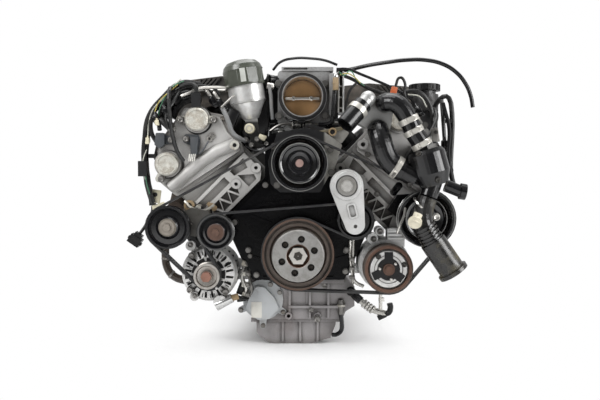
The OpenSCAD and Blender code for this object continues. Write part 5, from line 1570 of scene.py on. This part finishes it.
@dataclass
class IntakeSide(Region):
    """What surrounds the throttle body and the oil filter."""

    name: str = "intake_side"
    shaft_height: float = 345
    shaft_screws: tuple[float, ...] = (-11, 30)
    screw_front: float = 475
    rails: tuple[tuple[float, str], ...] = ((91, "pale_steel"), (102, "compressor_casting"))
    rail_size: Point = (3.4, 14, 92)
    rungs: tuple[float, ...] = (396, 371, 346, 322)
    rung_size: Point = (9, 10, 3.4)
    valves: tuple[tuple[float, float], ...] = ((-14, 6), (10, 30))
    valve_radius: float = 9.5
    valve_height: float = 284
    filter_bolts: Spots = ((-117, 249), (-104, 237), (-92, 250), (-70, 240))
    filter_bolt_seat: float = 522
    patch_at: tuple[float, float] = (-122, 391)
    patch_size: Point = (12, 30, 0.6)
    patch_spin: float = 8
    parts: tuple[Part, ...] = (
        # Bar of the throttle's shaft
        Block((9.5, 470.5, 345), (78, 3, 6), "pale_steel", 0, 0.8, body=Body.THROTTLE),
        # Sensor, rails and pipes on the right of the throttle body
        Rod((84, 506, 388), (84, 506, 360), 6.5, "tan_plastic"),
        Rod((84, 506, 396), (84, 506, 387), 5, "bright_aluminium"),
        Ring((84, 506, 374), 6, 7.6, 3, "tan_plastic", (0, 0, 1)),
        Bellows((82, 506, 360), (78, 506, 300), 5.5, 14, "hose_rubber"),
        Wire(5, "hose_rubber", ((78, 506, 302), (76, 504, 290), (62, 500, 284), (46, 498, 284))),
        Block((96, 480, 358), (9, 6, 90), "dark_steel", 0, 0.6),
        Wire(1.3, "wire_green", ((92, 498, 402), (104, 500, 394), (116, 500, 404), (132, 496, 384),
                                 (150, 490, 372))),
        Wire(1.3, "wire_yellow", ((94, 496, 396), (110, 502, 398), (124, 500, 392), (140, 494, 378))),
        Wire(3.2, "hose_rubber", ((86, 500, 408), (112, 498, 408), (140, 494, 398), (176, 490, 384),
                                  (214, 494, 366), (250, 500, 344), (272, 510, 318))),
        Wire(4.0, "loom_sleeve", ((88, 494, 398), (120, 490, 388), (150, 484, 372), (192, 484, 356),
                                  (232, 480, 352), (262, 486, 346))),
        Wire(3.0, "loom_sleeve", ((104, 480, 300), (108, 500, 330), (116, 505, 360), (130, 500, 376))),
        # Lines and lugs under it
        Wire(3.2, "clamp_steel", ((30, 486, 284), (60, 488, 284), (84, 490, 288), (106, 490, 284))),
        Wire(3.2, "bolt_steel", ((-14, 486, 284), (-34, 486, 286), (-50, 486, 280), (-64, 484, 270))),
        Wire(2.6, "hose_rubber", ((-30, 500, 300), (-20, 504, 292), (0, 506, 296), (18, 504, 296),
                                  (34, 500, 300))),
        Plug((8, 498, 292), (0, 1, 0.1), (16, 10, 14)),
        Ring((21, 508, 267), 3.6, 9, 6, "pale_steel"),
        Block((64, 547, 266), (72, 5, 8), "olive_steel", -11, 2),
        Ring((75, 549, 264), 5.5, 9, 5, "tan_plastic"),
        Rod((75, 549, 264), (75, 552, 264), 5.4, "black_plastic"),
        Rod((-38, 512, 262), (-38, 540, 262), 6, "clamp_steel"),
        # Beside and under the oil filter
        Block((-96, 462, 300), (62, 44, 128), "glossy_plastic", 6, 9),
        Block((-126, 448, 262), (70, 30, 92), "black_plastic", 30, 8),
        Rod((-50, 468, 386), (-68, 482, 388), 11, "glossy_plastic"),
        Ring((-67, 482, 388), 7, 12, 4, "black_plastic", (-1, 0, 0)),
        Rod((-56, 492, 370), (-71, 496, 372), 7, "pale_steel"),
        Wire(4, "grey_pipe", ((-66, 500, 372), (-62, 502, 350), (-60, 500, 318), (-58, 494, 296))),
        Rod((-109, 500, 274), (-109, 520, 274), 12, "cream_plastic", 11),
        Ring((-109, 519, 274), 5, 8, 2.5, "mottled_aluminium"),
        Block((-80, 508, 254), (18, 14, 12), "cream_plastic", 20, 2),
        Wire(5, "grey_pipe", ((-167, 536, 317), (-157, 548, 298), (-150, 550, 280), (-143, 549, 262),
                              (-128, 540, 250), (-118, 520, 246))),
        Wire(2.4, "pale_steel", ((-142, 524, 346), (-152, 532, 336), (-168, 545, 318))),
        Wire(4, "hose_rubber", ((-118, 505, 236), (-90, 512, 226), (-66, 520, 232))),
        # Hose arched over the plenum
        Wire(3.2, "hose_rubber", ((-60, 418, 418), (-42, 424, 436), (-10, 428, 444), (30, 426, 444),
                                  (62, 424, 440), (92, 420, 430))),
    )

    def detail(self) -> None:
        """Builds the shaft's screws, the rails, the valves and the filter's bolts."""
        front, z = self.screw_front, self.shaft_height
        for x in self.shaft_screws:
            self.put(Rod((x, front - 3, z), (x, front, z), 5, "pale_steel", body=Body.THROTTLE))
            self.put(Block((x, front + 0.2, z), (7, 0.6, 1.2), "black_plastic", 35, 0, body=Body.THROTTLE))
        for x, finish in self.rails:
            self.put(Block((x, 490, 358), self.rail_size, finish, 0, 0.6))
        for z in self.rungs:
            self.put(Block((96.5, 487, z), self.rung_size, "pale_steel", 0, 0.6))
        radius, z = self.valve_radius, self.valve_height
        for x0, x1 in self.valves:
            self.put(Rod((x0, 486, z), (x1, 486, z), radius, "clamp_steel"))
            self.put(Ring((x0 + 3, 486, z), radius, radius + 0.8, 2.5, "black_plastic", (1, 0, 0)))
        seat = self.filter_bolt_seat
        for x, z in self.filter_bolts:
            self.put(Rod((x, seat - 22, z), (x, seat, z), 5, "bolt_steel"))
            self.put(Bolt((x, seat, z), 8))
        self.patch_cap()

    def patch_cap(self) -> None:
        """Lays the pale patch on the front of the filter's cap."""
        x, z = self.patch_at
        hit, at, normal, _ = self.stock.nodes["oil_filter_cap"].ray_cast(place(x, SIGHT, z), -FRONT)
        if hit:
            size = tuple(v / 1000 for v in self.patch_size)
            patch = Bench.block("patch", Vector((0, 0, 0)), size, round_by=0.0002)
            patch.data.transform(turned_to(at, normal, self.patch_spin))
            self.add(patch, "pale_film", Body.FILTER_CAP)


@dataclass
class AlternatorSide(Region):
    """Alternator windings and fittings, the pipes beside it and the side cover's label."""

    name: str = "alternator_side"
    centre: tuple[float, float] = (-196, -47)
    front: float = 560
    windings: int = 9
    winding_circle: float = 33.5
    winding_size: Point = (9, 3, 5)
    # Black blocks in the vent slots: painted shade, the dark inside of the alternator seen through them
    shaded_slots: int = 34
    shaded_slot_circle: float = 48
    shaded_slot_size: Point = (9, 1, 2.3)
    # Of each run of this many shaded slots, the first two are left out
    shaded_slot_run: int = 11
    ears: Spots = ((-36.72, 40.8), (36.72, -38.76), (-40.8, -34.68))
    pipe_bands: tuple[tuple[Point, Point], ...] = (
        ((-301, 499, -22), (0.15, 0, 1)), ((-284, 508, -56), (-0.8, 0, 0.6)))
    fittings: Spots = ((-26, 12), (-50, 9), (-74, 12), (-96, 10))
    label_at: tuple[float, float] = (-94, -134)
    label_size: Point = (24, 0.6, 36)
    parts: tuple[Part, ...] = (
        Bolts("alternator_body", ((-236, 17), (-227, -95)), 8),
        Rod((-182, 545, -119), (-146, 545, -101), 12, "bright_aluminium", 10),
        Rod((-148, 545, -102), (-132, 543, -98), 7, "tan_plastic"),
        Wire(4.5, "hose_rubber", ((-136, 544, -99), (-126, 540, -103), (-112, 532, -106))),
        Wire(9, "brown_rubber", ((-300, 496, 22), (-302, 498, -10), (-296, 503, -42), (-278, 510, -60),
                                 (-250, 515, -68))),
        Wire(12, "black_plastic", ((-216, 520, 92), (-236, 535, 84), (-243, 540, 60), (-236, 538, 34),
                                   (-222, 530, 14))),
        Ring((-243, 540, 66), 11.5, 14, 6, "clamp_steel", (0.1, 0, -1)),
        # Fittings between the alternator and the cover
        Wire(5, "clamp_steel", ((-112, 526, -24), (-122, 530, -40), (-124, 532, -62), (-116, 532, -84),
                                (-124, 526, -104))),
        Wire(3.4, "bolt_steel", ((-106, 520, -30), (-108, 534, -60), (-104, 534, -86), (-112, 526, -104))),
        Block((-128, 524, -84), (14, 14, 26), "black_plastic", 20, 2),
        Block((-126, 516, -110), (24, 9, 9), "black_plastic", -8, 2),
    )

    def detail(self) -> None:
        """Builds the windings over a black ring of painted shade, black blocks of painted shade in the vent
        slots, the bolts, the bands and the side cover's blank label.
        """
        x, z = self.centre
        front = self.front
        # Black ring behind the windings: painted shade, the dark inside seen between them
        self.put(Ring((x, front, z), 30, 37, 0.8, "black_plastic"))
        for angle, dx, dz in around(self.windings, self.winding_circle, 20):
            self.put(Block((x + dx, front + 1.4, z + dz), self.winding_size, "alternator_casting", -angle,
                           0.6))
        # Black blocks in the vent slots: painted shade
        for i, (angle, dx, dz) in enumerate(around(self.shaded_slots, self.shaded_slot_circle)):
            if i % self.shaded_slot_run > 1:
                self.put(Block((x + dx, front + 0.2, z + dz), self.shaded_slot_size, "black_plastic", -angle, 0.3))
        for dx, dz in self.ears:
            self.put(Bolt((x + dx, front - 4, z + dz), 11))
        for at, along in self.pipe_bands:
            self.put(Ring(at, 8.6, 10.2, 5, "bolt_steel", place(*along)))
        for height, size in self.fittings:
            self.put(Block((-118, 530, height), (size + 4, 12, size), "mottled_aluminium", 12, 2))
            self.put(Bolt((-112, 536, height), 8))
        size = tuple(v / 1000 for v in self.label_size)
        at = self.stock.seat("side_cover", *self.label_at) + FRONT * (size[1] / 2)
        self.add(Bench.block("label", at, size, round_by=0.0002), "white_plastic")


@dataclass
class FrontFace(Region):
    """Bolts and marks of the pulleys and covers in the middle."""

    name: str = "front_face"
    damper_bolts: int = 6
    damper_circle: float = 36
    damper_front: float = 614.2
    marks: int = 6
    mark_circle: float = 8
    mark_front: float = 621.2
    rivets: Spots = ((207, -19), (174, -30), (198, -52))
    rivet_radius: float = 0.0034
    rivet_height: float = 0.0016
    steering_bolt: tuple[float, float] = (294, 81)
    rib_heights: tuple[float, ...] = (-14, -34, -54)
    rib_size: Point = (12, 10, 8)
    parts: tuple[Part, ...] = (
        Ring((0, 621.1, 0), 1, 8.5, 0.4, "dark_steel", body=Body.CRANK),
        Ring((0, 608.3, 0), 19.5, 23.6, 0.8, "rusty_steel", body=Body.CRANK),
        Bolts("compressor_clutch_plate", ((171, -4), (226, -21)), 8, "dark_steel", Body.CLUTCH),
        Bolts("compressor_body", ((179, 47), (165, 30)), 9),
        # Fittings of the sump
        Bolts("sump_upper", ((29, -135), (100, -120), (-10, -80), (60, -80)), 9),
        Rod((43, 516, -152), (43, 526, -152), 8, "bolt_steel", 7),
        Bolt((43, 526, -152), 11),
        Rod((96, 505, -112), (97, 505, -146), 6, "bolt_steel"),
        Ring((97, 505, -128), 6, 9, 5, "mottled_aluminium", (0, 0, 1)),
        Wire(5, "hose_rubber", ((97, 505, -146), (99, 505, -166), (97, 505, -184), (86, 503, -193),
                                (78, 498, -194))),
        # Drain hose under the compressor
        Wire(9.5, "hose_rubber", ((121, 518, -92), (128, 524, -100), (140, 528, -111))),
        Ring((119, 522, -91), 6, 10.5, 5, "black_plastic", (-0.4, -0.8, 0.3)),
        Wire(6.5, "black_plastic", ((190, 528, -139), (201, 530, -138), (206, 530, -126), (204, 530, -116))),
        Rod((196, 528, -142), (178, 528, -150), 6, "black_plastic"),
        Ring((186, 528, -112), 4, 6.5, 8, "clamp_steel", (0, 0, 1)),
        # Bolts and ribs on the right of the cover
        Bolts("front_cover", ((104, 3), (103, -42), (-106, -8)), 7),
        Wire(3.2, "clamp_steel", ((114, 552, 26), (114, 554, -8), (118, 554, -40), (120, 552, -70))),
    )

    def detail(self) -> None:
        """Builds the damper's bolts, the clutch's rivets, the steering pulley's bolt and the ribs."""
        front = self.damper_front
        for _, x, z in around(self.damper_bolts, self.damper_circle, 79):
            self.put(Ring((x, front + 0.1, z), 4.6, 7.3, 0.5, "black_plastic", body=Body.CRANK))
            self.add(self.stock.socket_bolt(place(x, front, z), FRONT, 0.0045, "dark_steel"), body=Body.CRANK)
        front = self.mark_front
        for _, x, z in around(self.marks, self.mark_circle, 15):
            self.put(Rod((x, front, z), (x, front + 0.5, z), 1.8, "dark_steel", body=Body.CRANK, round_by=0))
        radius = self.rivet_radius
        for x, z in self.rivets:
            at = self.stock.seat("compressor_clutch_plate", x, z)
            rivet = Bench.rod("rivet", at, at + FRONT * self.rivet_height, radius, 20, radius * 0.7, 0.0004)
            self.add(rivet, "pale_steel", Body.CLUTCH)
        at = self.stock.seat("steering_pump_pulley", *self.steering_bolt)
        self.add(self.stock.bolt(at, FRONT, 0.0115, "pale_steel"), body=Body.STEERING_PUMP)
        for height in self.rib_heights:
            self.put(Block((118, 554, height), self.rib_size, "bolt_steel", 0, 1.5))


@dataclass
class CoolantSide(Region):
    """Clamp screws, brackets, plugs and wires round the coolant hoses and the tank."""

    name: str = "coolant_side"
    elbow_bands: tuple[tuple[Point, Point], ...] = (
        ((258, 626, 108), (-0.7, -0.2, -0.7)), ((262, 633, 92), (-0.4, -0.5, -0.8)))
    parts: tuple[Part, ...] = (
        # Screw of a clamp, and the hose's bracket
        Block((197, 640, 170), (9, 5, 6), "bolt_steel", -40, 1),
        Block((288, 610, 254), (16, 3, 30), "bolt_steel", -8, 1.5),
        Rod((289, 611, 260), (289, 615, 260), 4, "dark_steel"),
        # Loops of wire round the hoses
        Wire(3, "loom_sleeve", ((212, 556, 340), (212, 562, 366), (220, 566, 380), (230, 564, 370),
                                (231, 560, 344), (244, 566, 318))),
        Wire(4, "loom_sleeve", ((300, 500, 322), (304, 530, 312), (300, 560, 292), (286, 590, 268),
                                (274, 606, 250))),
        Wire(4.5, "loom_sleeve", ((232, 540, 352), (262, 545, 352), (286, 540, 330), (296, 540, 290),
                                  (300, 548, 240))),
        Wire(1.4, "wire_white", ((240, 548, 346), (266, 552, 340), (280, 552, 318))),
        # Plugs and the coloured cap between the wires
        Block((206, 566, 350), (13, 13, 20), "orange_plastic", 14, 2),
        Plug((214, 560, 336), (0.2, 0.2, -1), (13, 12, 22)),
        Plug((258, 560, 318), (0.5, 0.2, -1), (13, 12, 24)),
        Plug((322, 536, 246), (0, 0, -1), (12, 12, 24)),
        Plug((330, 540, 200), (0.2, 0, -1), (14, 12, 26)),
        Wire(4.2, "hose_rubber", ((322, 520, 330), (332, 540, 270), (326, 560, 214), (330, 580, 160),
                                  (334, 592, 142))),
        Wire(3.0, "clamp_steel", ((226, 609, 100), (222, 618, 84), (214, 622, 66), (208, 618, 48))),
        Rod((207, 560, 132), (214, 600, 148), 8, "glossy_plastic"),
        # Bolts of the housing and the crossover
        Bolts("thermostat_housing", ((246, 214), (262, 231), (286, 160), (232, 150)), 9, "dark_steel"),
        Bolts("right_drive_cover", ((190, 258), (168, 300), (300, 222), (154, 216), (236, 158)), 9),
        Bolts("right_head", ((124, 150), (150, 108), (176, 128)), 9),
        Wire(4, "loom_sleeve", ((124, 520, 316), (150, 545, 300), (170, 556, 262), (182, 556, 226),
                                (214, 552, 196), (250, 552, 178))),
    )

    def detail(self) -> None:
        """Builds the bands of the striped elbow over the outlet pipe."""
        for at, along in self.elbow_bands:
            self.put(Ring(at, 19, 22.5, 4, "clamp_steel", place(*along)))


def main() -> None:
    """Builds the stage, dresses the solids and adds every piece, in order."""
    logging.basicConfig(level=logging.INFO, format="%(message)s")
    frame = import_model()
    cad_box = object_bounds()
    shop = Shop()
    Studio().build(cad_box[0][2])
    build_cords(shop)
    dress_solids(frame, shop)
    stock = Stock(shop, frame["nodes"])
    for kind in (LeftBank, IntakeSide, AlternatorSide, FrontFace, CoolantSide):
        kind(stock).build()


if __name__ == "__main__":
    main()
